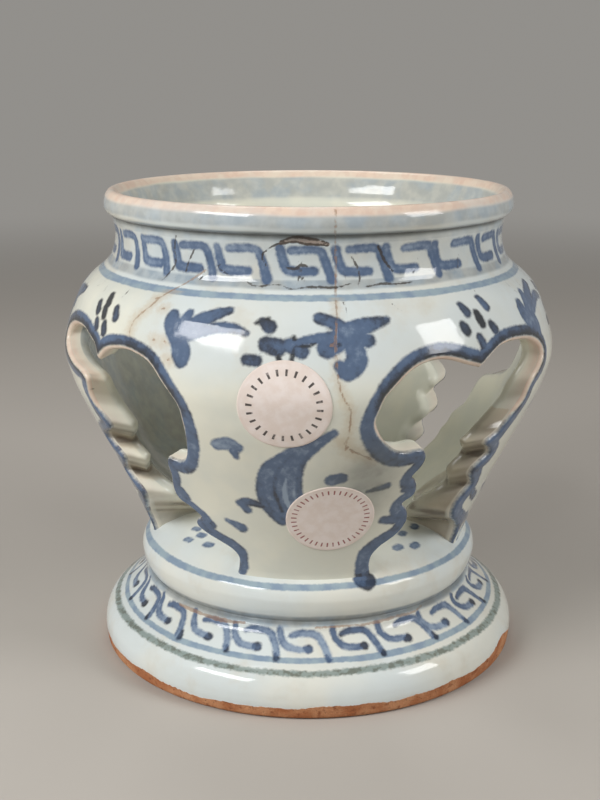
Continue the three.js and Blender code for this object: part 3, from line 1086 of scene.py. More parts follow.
class Canvas:
    """The painted values of one piece: depths in mm inside marks, and shares of coatings and of painted
    shade.
    """

    REACH = 2.5
    STROKE_SPANS = 5
    OVERLAP = 0.8
    RAGGED = 0.12
    RAGGED_SEED = 50
    FILM_RAGGED = 0.25

    def __init__(self, wall: Wall, places: Places, outside: np.ndarray) -> None:
        """Lays the points flat.

        Args:
            wall: the outer line of the piece.
            places: where its points lie.
            outside: whether each point lies on the outer skin.
        """
        self.wall, self.phi, self.height, self.outside = wall, places.phi, places.height, outside
        self.radius, self.run = wall.radius(self.height), wall.run(self.height)
        self.layers = {name: np.full(self.phi.shape, FAR) for name in DEPTHS}
        self.layers |= {name: np.zeros(self.phi.shape) for name in SHARES}

    def lift(self, kind: str, values: np.ndarray, chosen: np.ndarray) -> None:
        """Raises a layer to the given values at the chosen points, where it is lower."""
        layer = self.layers[kind]
        layer[:] = np.where(chosen, np.maximum(layer, values), layer)

    def stroke(
        self, kind: str, marks: Rows | list, tone: float | tuple = 0.5, bend: bool = True, turn: float = 0.0
    ) -> None:
        """Adds a brush stroke.

        Args:
            kind: the layer it belongs to.
            marks: rows of angle, height and half width along the stroke.
            tone: how dark it is, or its darkness at the start and at the end.
            bend: whether it curves through the rows.
            turn: angle by which it is moved round.
        """
        curved = bend and len(marks) > 2
        rows = spline(marks, self.STROKE_SPANS) if curved else np.asarray(marks, float)
        middle = rows[:, 0].mean()
        across = np.radians(rows[:, 0] - middle) * self.wall.radius(rows[:, 1])
        line = np.stack([across, self.wall.run(rows[:, 1])], axis=-1)
        x = np.radians(wrap(self.phi - turn - middle)) * self.radius
        reach = rows[:, 2].max() + self.REACH
        near = self.outside & (np.abs(self.run - line[:, 1].mean()) < np.ptp(line[:, 1]) + reach)
        near &= np.abs(x - line[:, 0].mean()) < np.ptp(line[:, 0]) + reach
        at = np.flatnonzero(near)
        if not len(at):
            return
        depth, along = chain_depth(np.stack([x[at], self.run[at]], axis=-1), line, rows[:, 2])
        layer = self.layers[kind]
        if kind == "cobalt":
            start, end = tone if isinstance(tone, tuple) else (tone, tone)
            old = self.layers["tone"][at]
            share = np.where(depth > layer[at], 1, smoothstep(0.0, self.OVERLAP, depth))
            self.layers["tone"][at] = old + (start + (end - start) * along - old) * share
        layer[at] = np.maximum(layer[at], depth)

    def ring(self, kind: str, low: float, high: float, stray: float, seed: int) -> None:
        """Draws a line round the wall.

        Args:
            kind: the layer it belongs to.
            low: height of its lower edge.
            high: height of its upper edge.
            stray: how far it wanders in mm.
            seed: chooses how it wanders.
        """
        low_run, high_run = self.wall.run(low), self.wall.run(high)
        middle, half = (low_run + high_run) / 2, (high_run - low_run) / 2
        off = np.abs(self.run - middle - wander(self.phi, seed, stray))
        depth = half + wander(self.phi, seed + self.RAGGED_SEED, self.RAGGED) - off
        self.lift(kind, depth, self.outside)

    def film(
        self, kind: str, low: float, high: float, amount: float, soft: float, inside: bool = False
    ) -> None:
        """Lays a coating, or painted shade, between two heights.

        Args:
            kind: the layer it belongs to.
            low: height of its lower edge.
            high: height of its upper edge.
            amount: how fully it covers.
            soft: half the height over which its edges fade.
            inside: whether it lies inside the piece instead of outside.
        """
        height = self.height + wander(self.phi, int(low * 10), self.FILM_RAGGED)
        above = smoothstep(high - soft, high + soft, height)
        share = smoothstep(low - soft, low + soft, height) * (1 - above)
        self.lift(kind, amount * share, ~self.outside if inside else self.outside)


# Key-fret units: rows of angle from the unit's start, height and half width, and darkness along them
NECK_FRET = (
    (((0.0, 137.5, 1.15), (1.0, 133.6, 1.2), (2.6, 131.5, 1.2), (8.7, 131.4, 1.1)), (0.3, 0.4)),
    (((3.3, 137.2, 1.0), (9.6, 137.5, 1.1), (11.5, 136.0, 1.1), (13.7, 129.3, 1.2)), (0.24, 0.42)),
)
# Units of the neck's fret that stand off their even places, with the degrees of each stroke
NECK_STRAY = {
    -3: (0.0, -1.7),
    -2: (-0.6, -1.9),
    -1: (-2.1, -2.2),
    0: (-0.5, -1.3),
    1: (-1.2, -1.1),
    2: (-2.6, -0.6),
    3: (-3.0, 0.4),
}
BASE_FRET = (
    (((0.0, 22.2, 0.75), (0.7, 19.6, 0.9), (3.4, 17.9, 0.95), (8.2, 17.5, 0.9)), (0.42, 0.12)),
    (((8.0, 17.5, 1.05), (8.9, 17.5, 1.2)), (0.65, 0.75)),
    (((3.0, 20.7, 0.6), (5.8, 21.4, 0.9), (10.6, 21.0, 0.95), (12.9, 18.6, 0.9), (14.0, 16.2, 0.9)),
      (0.5, 0.15)),
    (((13.7, 16.7, 0.7), (14.2, 15.7, 0.85)), (0.6, 0.75)),
)
# Units of the base's fret that stand off their even places
BASE_STRAY = {
    -5: (2.5, 2.5, 3.5, 3.5),
    -4: (2.0, 2.0, 3.0, 3.0),
    -3: (0.3, 0.8, 2.4, 3.2),
    -2: (2.0, 2.0, 3.2, 3.2),
    -1: (1.5, 1.5, 2.3, 2.3),
    0: (0.0, 0.0, 0.6, 0.6),
    1: (0.4, 0.4, 0.0, 0.0),
    2: (-1.5, -1.5, 2.0, 2.0),
    3: (-1.8, -1.8, 0.8, 0.8),
}

# What is painted on the front leg: rows of angle, height and half width, and darkness
SPRIG = (
    (((-22.5, 114.5, 2.6), (-24.3, 117.4, 2.4), (-24.6, 119.5, 1.7)), (0.4, 0.55)),
    (((-21.5, 115.5, 2.2), (-21.2, 118.2, 1.8), (-20.6, 120.3, 1.2)), (0.35, 0.45)),
    (((-21.0, 115.2, 2.0), (-17.5, 118.6, 2.2), (-13.8, 120.8, 1.7), (-11.2, 121.7, 1.2)), (0.4, 0.65)),
    (((-21.5, 112.8, 2.5), (-20.6, 110.5, 2.8), (-20.3, 108.6, 2.2)), (0.4, 0.5)),
    (((-19.0, 114.9, 1.3), (-14.0, 117.2, 1.5), (-10.0, 117.6, 1.4), (-6.5, 116.5, 0.8)), (0.4, 0.6)),
    (((-3.2, 119.5, 1.2), (-1.7, 118.4, 1.9)), (0.8, 0.65)),
    (((-4.6, 119.2, 0.35), (-3.0, 119.8, 0.6), (-2.0, 120.4, 0.4)), (0.95, 1.0)),
    (((-2.1, 114.0, 2.1), (0.2, 113.3, 2.4)), (0.75, 0.65)),
    (((-0.9, 113.0, 0.4), (0.2, 111.6, 0.55), (0.9, 109.6, 0.7)), (1.0, 1.0)),
    (((-6.0, 110.0, 1.45), (-4.0, 109.8, 1.5)), (0.7, 0.7)),
    (((2.7, 113.9, 1.9), (5.3, 112.3, 1.8)), (0.6, 0.6)),
    (((3.5, 115.9, 0.35), (3.9, 114.2, 0.75), (3.5, 112.4, 0.5), (3.2, 109.8, 0.4)), (1.0, 1.0)),
    (((3.9, 113.9, 0.6), (6.0, 113.6, 0.55), (8.0, 114.6, 0.3)), (1.0, 0.9)),
    (((3.6, 114.5, 0.8), (8.0, 115.5, 1.3), (12.5, 115.5, 2.2)), (0.5, 0.45)),
    (((9.0, 120.5, 1.7), (12.6, 119.0, 1.8), (13.6, 116.5, 2.6)), (0.65, 0.45)),
    (((23.4, 119.6, 1.1), (18.4, 118.4, 2.3), (14.6, 116.8, 2.8)), (0.7, 0.35)),
    (((12.5, 114.8, 2.8), (10.4, 113.2, 2.7)), (0.45, 0.55)),
    (((15.5, 115.4, 1.8), (19.0, 114.8, 1.8)), (0.4, 0.55)),
    (((15.9, 113.0, 2.4), (16.3, 109.8, 2.8), (14.4, 107.3, 2.5), (12.8, 108.6, 1.5)), (0.45, 0.5)),
    (((12.3, 114.6, 0.5), (13.0, 113.9, 0.9)), (1.0, 1.0)),
)
FOOT_CURLS = (
    (((-20.5, 48.6, 1.0), (-15.4, 45.0, 1.1), (-14.3, 41.4, 1.2), (-15.2, 38.6, 1.0),
      (-16.3, 37.0, 0.5)), (0.5, 0.35)),
    (((-27.6, 62.6, 0.8), (-28.8, 65.0, 1.5), (-30.0, 67.6, 1.0)), (0.55, 0.5)),
    (((-22.4, 54.6, 1.6), (-25.4, 56.4, 1.5), (-27.6, 58.6, 1.0)), (0.6, 0.55)),
    (((27.5, 47.4, 1.3), (24.6, 43.6, 1.6), (24.6, 40.2, 1.8), (25.0, 37.6, 2.4), (25.2, 36.0, 2.5)),
      (0.5, 0.75)),
    (((23.0, 42.0, 0.5), (23.6, 39.0, 0.7), (24.4, 36.6, 0.8)), (0.85, 1.0)),
    (((31.6, 68.3, 1.2), (33.6, 71.2, 1.4)), (0.6, 0.6)),
    (((27.8, 57.9, 1.4), (31.0, 57.6, 1.8), (34.0, 57.4, 2.0)), (0.5, 0.6)),
)
# The end of a band, run out over the drum's line
BAND_END = ((24.3, 36.6, 2.6), (25.8, 36.2, 2.8))
PLUME = (
    (((11.8, 90.0, 1.0), (8.0, 86.2, 1.9), (3.6, 82.0, 3.6), (0.6, 77.0, 4.9), (-0.4, 71.0, 5.2),
      (0.8, 65.0, 4.4), (3.6, 60.0, 3.0)), (0.34, 0.42)),
    (((4.6, 85.0, 0.6), (-1.8, 80.0, 1.1), (-4.2, 75.0, 1.3), (-5.0, 69.0, 1.4), (-4.0, 63.5, 1.4),
      (-0.6, 59.0, 1.5)), (0.4, 0.62)),
    (((3.0, 83.0, 0.6), (-0.6, 76.5, 1.0), (-1.6, 69.5, 1.0), (-0.2, 62.5, 0.9)), (0.5, 0.85)),
    (((9.0, 86.4, 0.7), (5.4, 80.6, 1.0), (4.3, 74.6, 0.9), (4.6, 68.0, 0.8)), (0.55, 0.5)),
    (((1.6, 75.6, 0.3), (0.8, 70.0, 0.9), (1.6, 64.6, 0.8), (3.4, 60.4, 0.5)), (-0.3, -0.5)),
    (((3.4, 73.6, 0.2), (3.2, 69.0, 0.5), (3.8, 65.0, 0.4)), (-0.2, -0.3)),
    (((-11.0, 64.6, 1.5), (-8.8, 65.3, 1.5), (-5.0, 64.2, 0.9)), (0.5, 0.75)),
    (((-10.6, 63.8, 1.2), (-9.6, 62.2, 1.2)), (0.45, 0.5)),
    (((-13.4, 84.7, 1.8), (-10.8, 85.4, 2.2), (-8.8, 84.4, 1.5)), (0.2, 0.3)),
    (((-9.9, 83.2, 1.3), (-9.5, 81.2, 0.8)), (0.35, 0.5)),
    (((-16.6, 57.4, 0.6), (-14.0, 56.2, 1.2), (-12.4, 55.2, 1.6)), (0.35, 0.5)),
    (((12.2, 74.0, 2.0), (14.2, 74.6, 1.9)), (0.4, 0.45)),
    (((21.2, 69.2, 0.4), (24.0, 70.0, 0.9), (26.2, 70.7, 1.1)), (0.7, 0.55)),
)
# The dots over a cusp: angle, height, half width, half length and darkness
RIGHT_DOTS = (
    (44.0, 120.3, 1.35, 1.0, 0.65),
    (50.8, 121.1, 1.3, 1.2, 0.6),
    (47.5, 117.4, 1.3, 1.5, 1.0),
    (42.4, 115.6, 1.4, 0.8, 0.8),
    (51.1, 114.5, 1.35, 0.9, 0.75),
    (46.3, 111.5, 1.3, 1.2, 0.65),
)
LEFT_DOTS = (
    (-50.6, 117.7, 1.3, 1.0, 0.85),
    (-47.3, 120.2, 1.3, 1.1, 0.95),
    (-47.1, 117.0, 1.2, 1.2, 1.0),
    (-42.3, 117.4, 1.3, 1.2, 0.7),
    (-48.8, 113.1, 1.2, 1.0, 0.7),
    (-45.1, 112.8, 1.3, 1.1, 0.75),
)
# Which dots stand over each leg's cusp, and how far they are moved round
CUSP_DOTS = ((LEFT_DOTS, 0.0), (RIGHT_DOTS, 0.0), (RIGHT_DOTS, 90.0), (LEFT_DOTS, -90.0))
# Dots on the ledge between the legs: angle, radius and half width
LEDGE_DOTS = (
    (63.8, 41.0, 1.1), (53.6, 41.2, 1.0), (44.6, 45.6, 1.1), (52.2, 47.0, 1.1), (-47.0, 47.3, 0.9),
    (-44.1, 43.9, 1.0), (-36.2, 46.0, 1.0), (-50.4, 42.8, 0.9), (135.0, 46.0, 1.0), (129.0, 43.0, 1.0),
    (141.0, 43.0, 0.9), (225.0, 46.0, 1.0), (219.0, 43.0, 0.9), (231.0, 42.5, 1.0),
)
RUST_LINE = (
    (13.1, 148.3, 0.22),
    (13.0, 143.0, 0.2),
    (13.4, 137.0, 0.2),
    (13.5, 131.9, 0.25),
    (13.1, 126.5, 0.22),
    (12.4, 117.7, 0.2),
    (12.1, 114.2, 0.3),
    (12.4, 105.3, 0.22),
    (13.6, 99.8, 0.2),
    (15.0, 95.8, 0.2),
    (14.5, 84.0, 0.15),
)
SHOULDER_CRACK = (
    (-20.9, 130.8, 0.22),
    (-24.3, 128.2, 0.24),
    (-27.5, 125.9, 0.22),
    (-30.5, 123.4, 0.26),
    (-31.9, 121.0, 0.22),
    (-34.0, 118.4, 0.24),
    (-35.4, 116.2, 0.22),
    (-35.6, 112.2, 0.15),
)
SIDE_CRACK = ((13.8, 87.0, 0.2), (15.8, 84.0, 0.3), (18.1, 82.4, 0.3), (20.9, 80.4, 0.25))
# Brown lines in the glaze, and the half width of the stain along them
STAINED_LINES = ((SHOULDER_CRACK, 1.2), (SIDE_CRACK, 1.6), (RUST_LINE, 0.6))
# Where the glaze ran thin and brown in the hollows of the cuts, darkened further by painted shade: angle,
# height and size
HOLLOWS = (
    (59.5, 72.6, 3.2),
    (59.0, 87.2, 1.2),
    (67.5, 46.5, 3.0),
    (60.2, 61.9, 2.4),
    (57.0, 51.5, 2.8),
    (-59.5, 72.9, 3.2),
    (-61.0, 61.6, 3.2),
    (-57.5, 48.8, 2.6),
    (-66.0, 46.5, 2.6),
    (-51.0, 97.6, 1.0),
)
PINHOLES = ((-28.0, 112.7), (-25.0, 112.4), (-23.3, 108.1), (-28.0, 120.7), (-31.6, 122.8), (11.3, 114.0))
SLIT = ((-0.6, 139.2, 0.4), (2.8, 140.2, 0.8), (5.7, 139.8, 1.0), (9.0, 139.4, 0.8), (11.5, 138.8, 0.4))
NECK_CRACKS = (
    ((-9.0, 128.4, 0.2), (-6.0, 127.5, 0.25), (-1.0, 128.1, 0.2), (2.5, 127.1, 0.25),
      (7.0, 127.6, 0.35), (13.0, 127.4, 0.3), (17.0, 128.3, 0.2)),
    ((21.0, 127.3, 0.25), (25.0, 127.9, 0.3), (30.0, 127.6, 0.25), (34.0, 127.9, 0.2)),
    ((1.0, 132.6, 0.2), (3.0, 132.2, 0.45), (4.6, 133.2, 0.35), (6.2, 133.0, 0.25)),
    ((-4.2, 132.8, 0.2), (-5.4, 135.6, 0.25), (-3.4, 137.6, 0.22), (-1.2, 139.0, 0.3)),
    ((18.8, 127.6, 0.2), (19.6, 130.0, 0.3), (18.6, 133.4, 0.25), (17.0, 136.2, 0.2)),
    ((24.6, 138.0, 0.4), (26.6, 133.6, 0.45), (28.6, 131.0, 0.3)),
    ((-34.0, 127.0, 0.2), (-31.0, 131.5, 0.3), (-31.5, 136.0, 0.22), (-30.5, 139.5, 0.25)),
    ((-27.0, 130.0, 0.25), (-26.4, 133.0, 0.2), (-24.8, 136.0, 0.25)),
)
STEP_CHIPS = (
    ((-40.7, 22.3, 0.35), (-34.6, 22.2, 0.6), (-29.9, 22.1, 0.45), (-23.9, 22.1, 0.7),
      (-18.3, 22.3, 0.5), (-14.0, 22.6, 0.3)),
    ((9.0, 22.7, 0.3), (17.8, 22.8, 0.3), (24.4, 22.6, 0.35), (30.0, 22.8, 0.5), (37.6, 23.0, 0.4),
      (43.6, 22.9, 0.3), (47.5, 23.6, 0.3)),
)


# How wide the band along the windows is in mm, by height
BAND_HEIGHTS = (30.0, 41.0, 47.0, 53.0, 60.0, 75.0, 81.0, 88.0, 95.0, 102.0, 108.0)
BAND_WIDTHS = (3.9, 4.3, 5.2, 4.8, 3.8, 3.7, 4.3, 4.5, 4.0, 3.5, 3.8)

# Coatings of each piece, and painted shade in its grooves and under the lip: layer, low and high edge, how
# fully it covers, softness, and whether inside
FILMS = {
    # Painted shade in the groove above the base, blue grey and darker
    "base_plinth": (("wash", 22.7, 30.0, 0.95, 0.4), ("grime", 23.3, 30.0, 0.6, 0.4)),
    # Painted shade in the same groove, on the foot of the drum
    "waist_drum": (("wash", 10.0, 26.0, 0.95, 0.5), ("grime", 10.0, 24.7, 0.6, 0.4)),
    "neck_collar": (
        ("wash", 129.0, 139.4, 0.36, 0.6),
        ("wash", 126.9, 129.4, 0.95, 0.4),
        # Painted shade under the lip, blue grey and darker
        ("wash", 139.0, 150.0, 0.7, 0.4),
        ("grime", 140.3, 150.0, 0.8, 0.7),
        ("wash", 139.4, 160.0, 0.75, 0.9, True),
    ),
    "lip_ring": (
        ("thin", 146.9, 160.0, 1.0, 0.7),
        ("wash", 143.4, 146.9, 0.8, 0.6),
        # Painted shade on the lip's underside, blue grey and darker
        ("wash", 130.0, 142.2, 0.8, 0.3),
        ("grime", 130.0, 141.9, 0.85, 0.5),
        ("thin", 146.8, 160.0, 1.0, 0.5, True),
        ("wash", 135.0, 146.6, 0.75, 0.5, True),
    ),
}
# Lines round the wall: layer, low and high edge, stray and seed
SHOULDER_RING = ("line", 124.2, 125.8, 0.12, 9)
DRUM_RING = ("line", 34.8, 36.4, 0.15, 13)
PLINTH_RINGS = (("line", 14.7, 15.9, 0.2, 3), ("green", 12.5, 13.7, 0.25, 5))
# The glaze's lower edge: its height, how far inward it reaches, and where it was rubbed off
GLAZE_EDGE = 3.9
GLAZE_REACH = 68.0
RUBBED_RISE = 3.2
RUBBED_MIDDLE = 74.0
RUBBED_WIDE = 9.0
ALL_BARE = 3.0
# Thin glaze on the cut faces: how thin low down, how much thinner high up, and on their outer edge
CUT_THIN = 0.35
CUT_THINNER = 0.4
EDGE_THIN = 0.3
# Painted shade on the pierced wall: how dark each patch is, and the angles or heights that it fades between
FOOT_SHADE = 0.5
LEG_SHADE = 0.42
LEG_SHADE_TURN = (-98.0, 52.0, 26.0)
LEG_SHADE_WASH = 1.6
WINDOW_SHADE = 0.45
WINDOW_SHADE_TURN = (72.0, 24.0, 14.0)
# Painted shadow between the labels and the right window: how dark, angle, height and size both ways
PAINTED_SHADOW = (0.75, 21.0, 72.0, 9.0, 14.0)
# How creamy the glaze is low on the wall, and on its left side
LOW_CREAM = 0.85
LEFT_CREAM = 0.75


class Decoration:
    """Paints the pieces: cobalt marks, lines and washes, the marks of firing and age, and painted shade."""

    @staticmethod
    def frets(canvas: Canvas, unit: tuple, count: int, start: float, seed: int, stray: dict) -> None:
        """Paints a band of key-fret units, each a little astray.

        Args:
            canvas: the piece.
            unit: the strokes of one unit.
            count: units round the stand.
            start: angle of the first unit.
            seed: chooses how the units stray.
            stray: units that stand off further, with the degrees of each stroke.
        """
        rng = np.random.default_rng(seed)
        for k in range(-(count // 2), count - count // 2):
            astray = rng.normal(0, 1, (len(unit), 2)) * (0.2, 0.12)
            astray[:, 0] += stray.get(k, (0.0,) * len(unit))
            darker = rng.normal(0, 0.07)
            for (marks, tones), (turn, rise) in zip(unit, astray):
                moved = [(p + turn, z + rise, h * (1 + 0.06 * rng.normal())) for p, z, h in marks]
                tone = tuple(float(np.clip(t + darker, 0, 1)) for t in tones)
                canvas.stroke("cobalt", moved, tone, bend=len(moved) > 3, turn=start + k * 360 / count)

    @staticmethod
    def hairlines(canvas: Canvas, count: int, low: tuple, length: tuple, seed: int) -> None:
        """Draws short broken hairlines rising from about one height.

        Args:
            canvas: the piece.
            count: how many.
            low: least and greatest height that they start from.
            length: least and greatest height that they rise by.
            seed: chooses their places and ways.
        """
        rng = np.random.default_rng(seed)
        steps = np.linspace(0, 1, 4)
        for _ in range(count):
            turn, start, rise = rng.uniform(0, 360), rng.uniform(*low), rng.uniform(*length)
            sway = np.cumsum(rng.normal(0, 1.0, len(steps)))
            half = rng.uniform(0.02, 0.12) * (1.3 - steps)
            marks = np.stack([sway, start + rise * steps, half], axis=-1)
            canvas.stroke("crack", marks, bend=False, turn=turn)

    @staticmethod
    def bare_margin(places: Places) -> np.ndarray:
        """Measures in mm how far below the glaze's lower edge a place lies.

        The edge wanders round the foot at about 4 mm and climbs where the glaze was rubbed off:
        by 3.2 * exp(-(x / 9)^2) at x degrees from there.

        Args:
            places: where the points lie.

        Returns:
            The depth of each point in the bare body.
        """
        rubbed = RUBBED_RISE * np.exp(-((wrap(places.phi - RUBBED_MIDDLE) / RUBBED_WIDE) ** 2))
        return GLAZE_EDGE - places.height + wander(places.phi, 31, 0.8, (3, 7, 13, 29)) + rubbed

    @classmethod
    def foot(cls, places: Places) -> Layers:
        """Paints the bare ring: glaze has run a little way over its upper edge.

        Args:
            places: where the points lie.

        Returns:
            The painted values.
        """
        outside = places.radius > GLAZE_REACH
        canvas = Canvas(OUTER, places, outside)
        canvas.layers["bare"][:] = np.where(outside, cls.bare_margin(places), ALL_BARE)
        return canvas.layers

    @classmethod
    def turned(cls, section: TurnedSection, places: Places) -> Layers:
        """Paints a turned section.

        Args:
            section: the section.
            places: where its points lie.

        Returns:
            The painted values.
        """
        canvas = Canvas(Wall.through(section.outer), places, places.inward == 0)
        # Inside, the creamier glaze is also a little lighter, as painted light
        canvas.layers["cream"][:] = places.inward
        for film in FILMS[section.name]:
            canvas.film(*film)
        if section is PLINTH:
            cls._plinth(canvas, places)
        elif section is NECK:
            cls._neck(canvas)
        else:
            canvas.stroke("rust", RUST_LINE)
        return canvas.layers

    @classmethod
    def _plinth(cls, canvas: Canvas, places: Places) -> None:
        """Paints the base: a fret between a pale line and the groove, a greenish line below.

        Args:
            canvas: the base.
            places: where its points lie.
        """
        cls.frets(canvas, BASE_FRET, 22, -2.2, 7, BASE_STRAY)
        for ring in PLINTH_RINGS:
            canvas.ring(*ring)
        for chips in STEP_CHIPS:
            canvas.stroke("rust", chips)
        canvas.layers["bare"][:] = np.where(canvas.outside, cls.bare_margin(places), ALL_BARE)

    @classmethod
    def _neck(cls, canvas: Canvas) -> None:
        """Paints the neck: a fret over a grey wash, a blue line at its foot, and old cracks.

        Args:
            canvas: the neck.
        """
        cls.frets(canvas, NECK_FRET, 24, -0.4, 11, NECK_STRAY)
        canvas.ring(*SHOULDER_RING)
        cls.hairlines(canvas, 34, (128.0, 131.0), (2.0, 7.0), 21)
        for crack in NECK_CRACKS:
            canvas.stroke("crack", [(p, z, h - 0.04) for p, z, h in crack])
        for side in (0.9, -0.8):
            canvas.stroke("crack", [(p, z + side * h, 0.15 + 0.25 * h) for p, z, h in SLIT])
        for line in (SLIT, RUST_LINE, SHOULDER_CRACK):
            canvas.stroke("rust", line)

    @staticmethod
    def drum(drum: WaistDrum, places: Places) -> Layers:
        """Paints the drum: a shaded groove at its foot, a blue line at its top, dots on the ledge.

        Args:
            drum: the drum.
            places: where its points lie.

        Returns:
            The painted values.
        """
        wall = Wall.through(drum.wall + drum.dome[1:])
        canvas = Canvas(wall, places, places.inward == 0)
        canvas.ring(*DRUM_RING)
        for film in FILMS["waist_drum"]:
            canvas.film(*film)
        for k in range(3):
            canvas.stroke("cobalt", BAND_END, (0.6, 0.8), turn=90.0 * k)
        for turn, reach, half in LEDGE_DOTS:
            z = float(np.interp(-reach, -wall.radii, wall.heights))
            canvas.stroke("cobalt", ((turn - 1.2, z, half), (turn + 1.2, z + 0.1, half)), 0.22)
        # Inside, the creamier glaze is also a little lighter, as painted light
        canvas.layers["cream"][:] = np.maximum(places.inward, smoothstep(50.0, 30.0, places.radius))
        return canvas.layers

    @classmethod
    def body(cls, places: Places, depth: np.ndarray) -> Layers:
        """Paints the pierced wall: bands round the windows, sprigs, plumes, dots, stains and painted shade.

        Args:
            places: where the points lie.
            depth: how far each one lies from the nearest window.

        Returns:
            The painted values.
        """
        canvas = Canvas(OUTER, places, places.inward == 0)
        for k in range(4):
            cls._leg_marks(canvas, k)
        canvas.ring(*SHOULDER_RING)
        canvas.ring(*DRUM_RING)
        cls._bands(canvas, depth)
        for line, half in STAINED_LINES:
            canvas.stroke("rust", line)
            canvas.stroke("stain", [(p, z, half) for p, z, _ in line])
        for angle, z in PINHOLES:
            canvas.stroke("stain", ((angle - 0.5, z, 1.0), (angle + 0.5, z, 1.0)))
            canvas.stroke("rust", ((angle - 0.1, z, 0.4), (angle + 0.1, z, 0.4)))
        cls.hairlines(canvas, 14, (122.0, 125.0), (-6.0, -2.0), 77)
        cls._cut_faces(canvas, places, depth)
        return canvas.layers

    @staticmethod
    def _leg_marks(canvas: Canvas, k: int) -> None:
        """Paints the sprig, plume, curls and dots of one leg, astray on all but the front one.

        Args:
            canvas: the pierced wall.
            k: which leg, by quarter turns from the front.
        """
        rng = np.random.default_rng(100 + k)
        for marks, tones in SPRIG + PLUME + FOOT_CURLS:
            astray = rng.normal(0, 0.6, 2) if k else (0, 0)
            moved = [(p + astray[0], z + astray[1], h) for p, z, h in marks]
            canvas.stroke("cobalt", moved, tones, turn=90.0 * k)
        dots, turn = CUSP_DOTS[k]
        for angle, z, half, long, tone in dots:
            lean = 0.4
            ends = (angle - lean, z + long, half * 0.8), (angle + lean, z - long, half)
            canvas.stroke("cobalt", (ends[0], (angle, z, half), ends[1]), tone, turn=turn)

    @staticmethod
    def _cut_faces(canvas: Canvas, places: Places, depth: np.ndarray) -> None:
        """Gives the cut faces thin glaze and brown hollows, the skins their tints, and both painted shade.

        Args:
            canvas: the pierced wall.
            places: where its points lie.
            depth: how far each one lies from the nearest window.
        """
        phi, height, inward = places.phi, places.height, places.inward
        layers, behind = canvas.layers, inward > 0
        cut = behind & (inward < 1)
        worn = 1 - 0.6 * smoothstep(0.2, 0.8, inward)
        layers["thin"] = (CUT_THIN + CUT_THINNER * smoothstep(88, 100, height)) * cut * worn
        layers["thin"] += EDGE_THIN * ((depth == 0) & canvas.outside)
        # Painted shade: at the foot of the cuts, on the left leg's inner skin, on the right window's lower
        # cut faces and inner skin, and a painted shadow beside the labels
        foot = FOOT_SHADE * smoothstep(50.0, 41.0, height) * cut
        shaded_leg = LEG_SHADE * beside(phi, *LEG_SHADE_TURN) * (inward == 1)
        shaded_cut = WINDOW_SHADE * beside(phi, *WINDOW_SHADE_TURN)
        shaded_cut = shaded_cut * smoothstep(90.0, 80.0, height) * behind
        dark, turn, rise, wide, tall = PAINTED_SHADOW
        painted_shadow = dark * np.exp(-((wrap(phi - turn) / wide) ** 2) - ((height - rise) / tall) ** 2)
        layers["grime"] = np.max([foot, shaded_leg, painted_shadow * canvas.outside, shaded_cut], axis=0)
        # A painted brown reflection on the right window's lower cut faces
        layers["stain"] = np.where(shaded_cut > 0.1, 1.5, layers["stain"])
        # The painted shade inside the left leg is also blue grey
        layers["wash"] = np.maximum(layers["wash"], LEG_SHADE_WASH * shaded_leg)
        for angle, z, size in HOLLOWS:
            off = np.hypot(np.radians(wrap(phi - angle)) * OUTER.radius(height), height - z)
            canvas.lift("rust", size * 0.35 - off, behind)
            canvas.lift("stain", size - off, behind)
            # Painted shade in the hollow
            canvas.lift("grime", 0.75 * smoothstep(size * 1.5, 0.0, off), behind)
        lower = LOW_CREAM * smoothstep(112.0, 98.0, height)
        left = LEFT_CREAM * smoothstep(22.0, 40.0, -wrap(phi)) * (wrap(phi) > -140)
        # Inside, the creamier glaze is also a little lighter, as painted light
        layers["cream"] = np.max([smoothstep(0.05, 0.6, inward), lower, left], axis=0)

    @staticmethod
    def _bands(canvas: Canvas, depth: np.ndarray) -> None:
        """Paints the band along the windows, its width and darkness changing on the way round.

        Args:
            canvas: the pierced wall.
            depth: how far its points lie from the nearest window.
        """
        phi, height, layers = wrap(canvas.phi), canvas.height, canvas.layers
        front_right = smoothstep(-5.0, 5.0, phi) * (np.abs(phi) < 45)
        width = np.interp(height, BAND_HEIGHTS, BAND_WIDTHS) + 0.4 * front_right
        width += wander(phi + height * 2, 41, 0.22, (7, 13, 22))
        # Pinched every 11 mm on the left leg's right edge
        patchy = smoothstep(30.0, 40.0, phi + 90) * (phi < -45) * smoothstep(100.0, 96.0, height)
        width -= patchy * (1.6 - 1.5 * np.sin((height - 80.0) * 2 * math.pi / 11.0))
        # Running out at the foot of each leg's left edge
        width *= np.where(wrap(phi * 4) < 0, smoothstep(33.0, 49.0, height), 1)
        # High up the band leaves a bare rim, and darkens towards it
        bare_rim = 0.85 * smoothstep(82.0, 91.0, height)
        layers["rim"] = np.where(canvas.outside, bare_rim - depth, FAR)
        band = np.minimum(width - depth, depth - 0.3 - 0.8 * bare_rim)
        deeper = canvas.outside & (band > layers["cobalt"])
        toward = smoothstep(3.8, 1.3, depth) * smoothstep(92, 102, height)
        tone = 0.5 + 0.42 * toward + wander(phi + height * 3, 43, 0.12, (5, 11, 17))
        layers["tone"] = np.where(deeper, np.clip(tone, 0, 1), layers["tone"])
        layers["cobalt"] = np.where(deeper, band, layers["cobalt"])


# Materials

Socket = bpy.types.NodeSocket
PLUS = {"operation": "ADD"}
TIMES = {"operation": "MULTIPLY"}
GREATEST = {"operation": "MAXIMUM"}
SMOOTH = {"interpolation_type": "SMOOTHSTEP"}


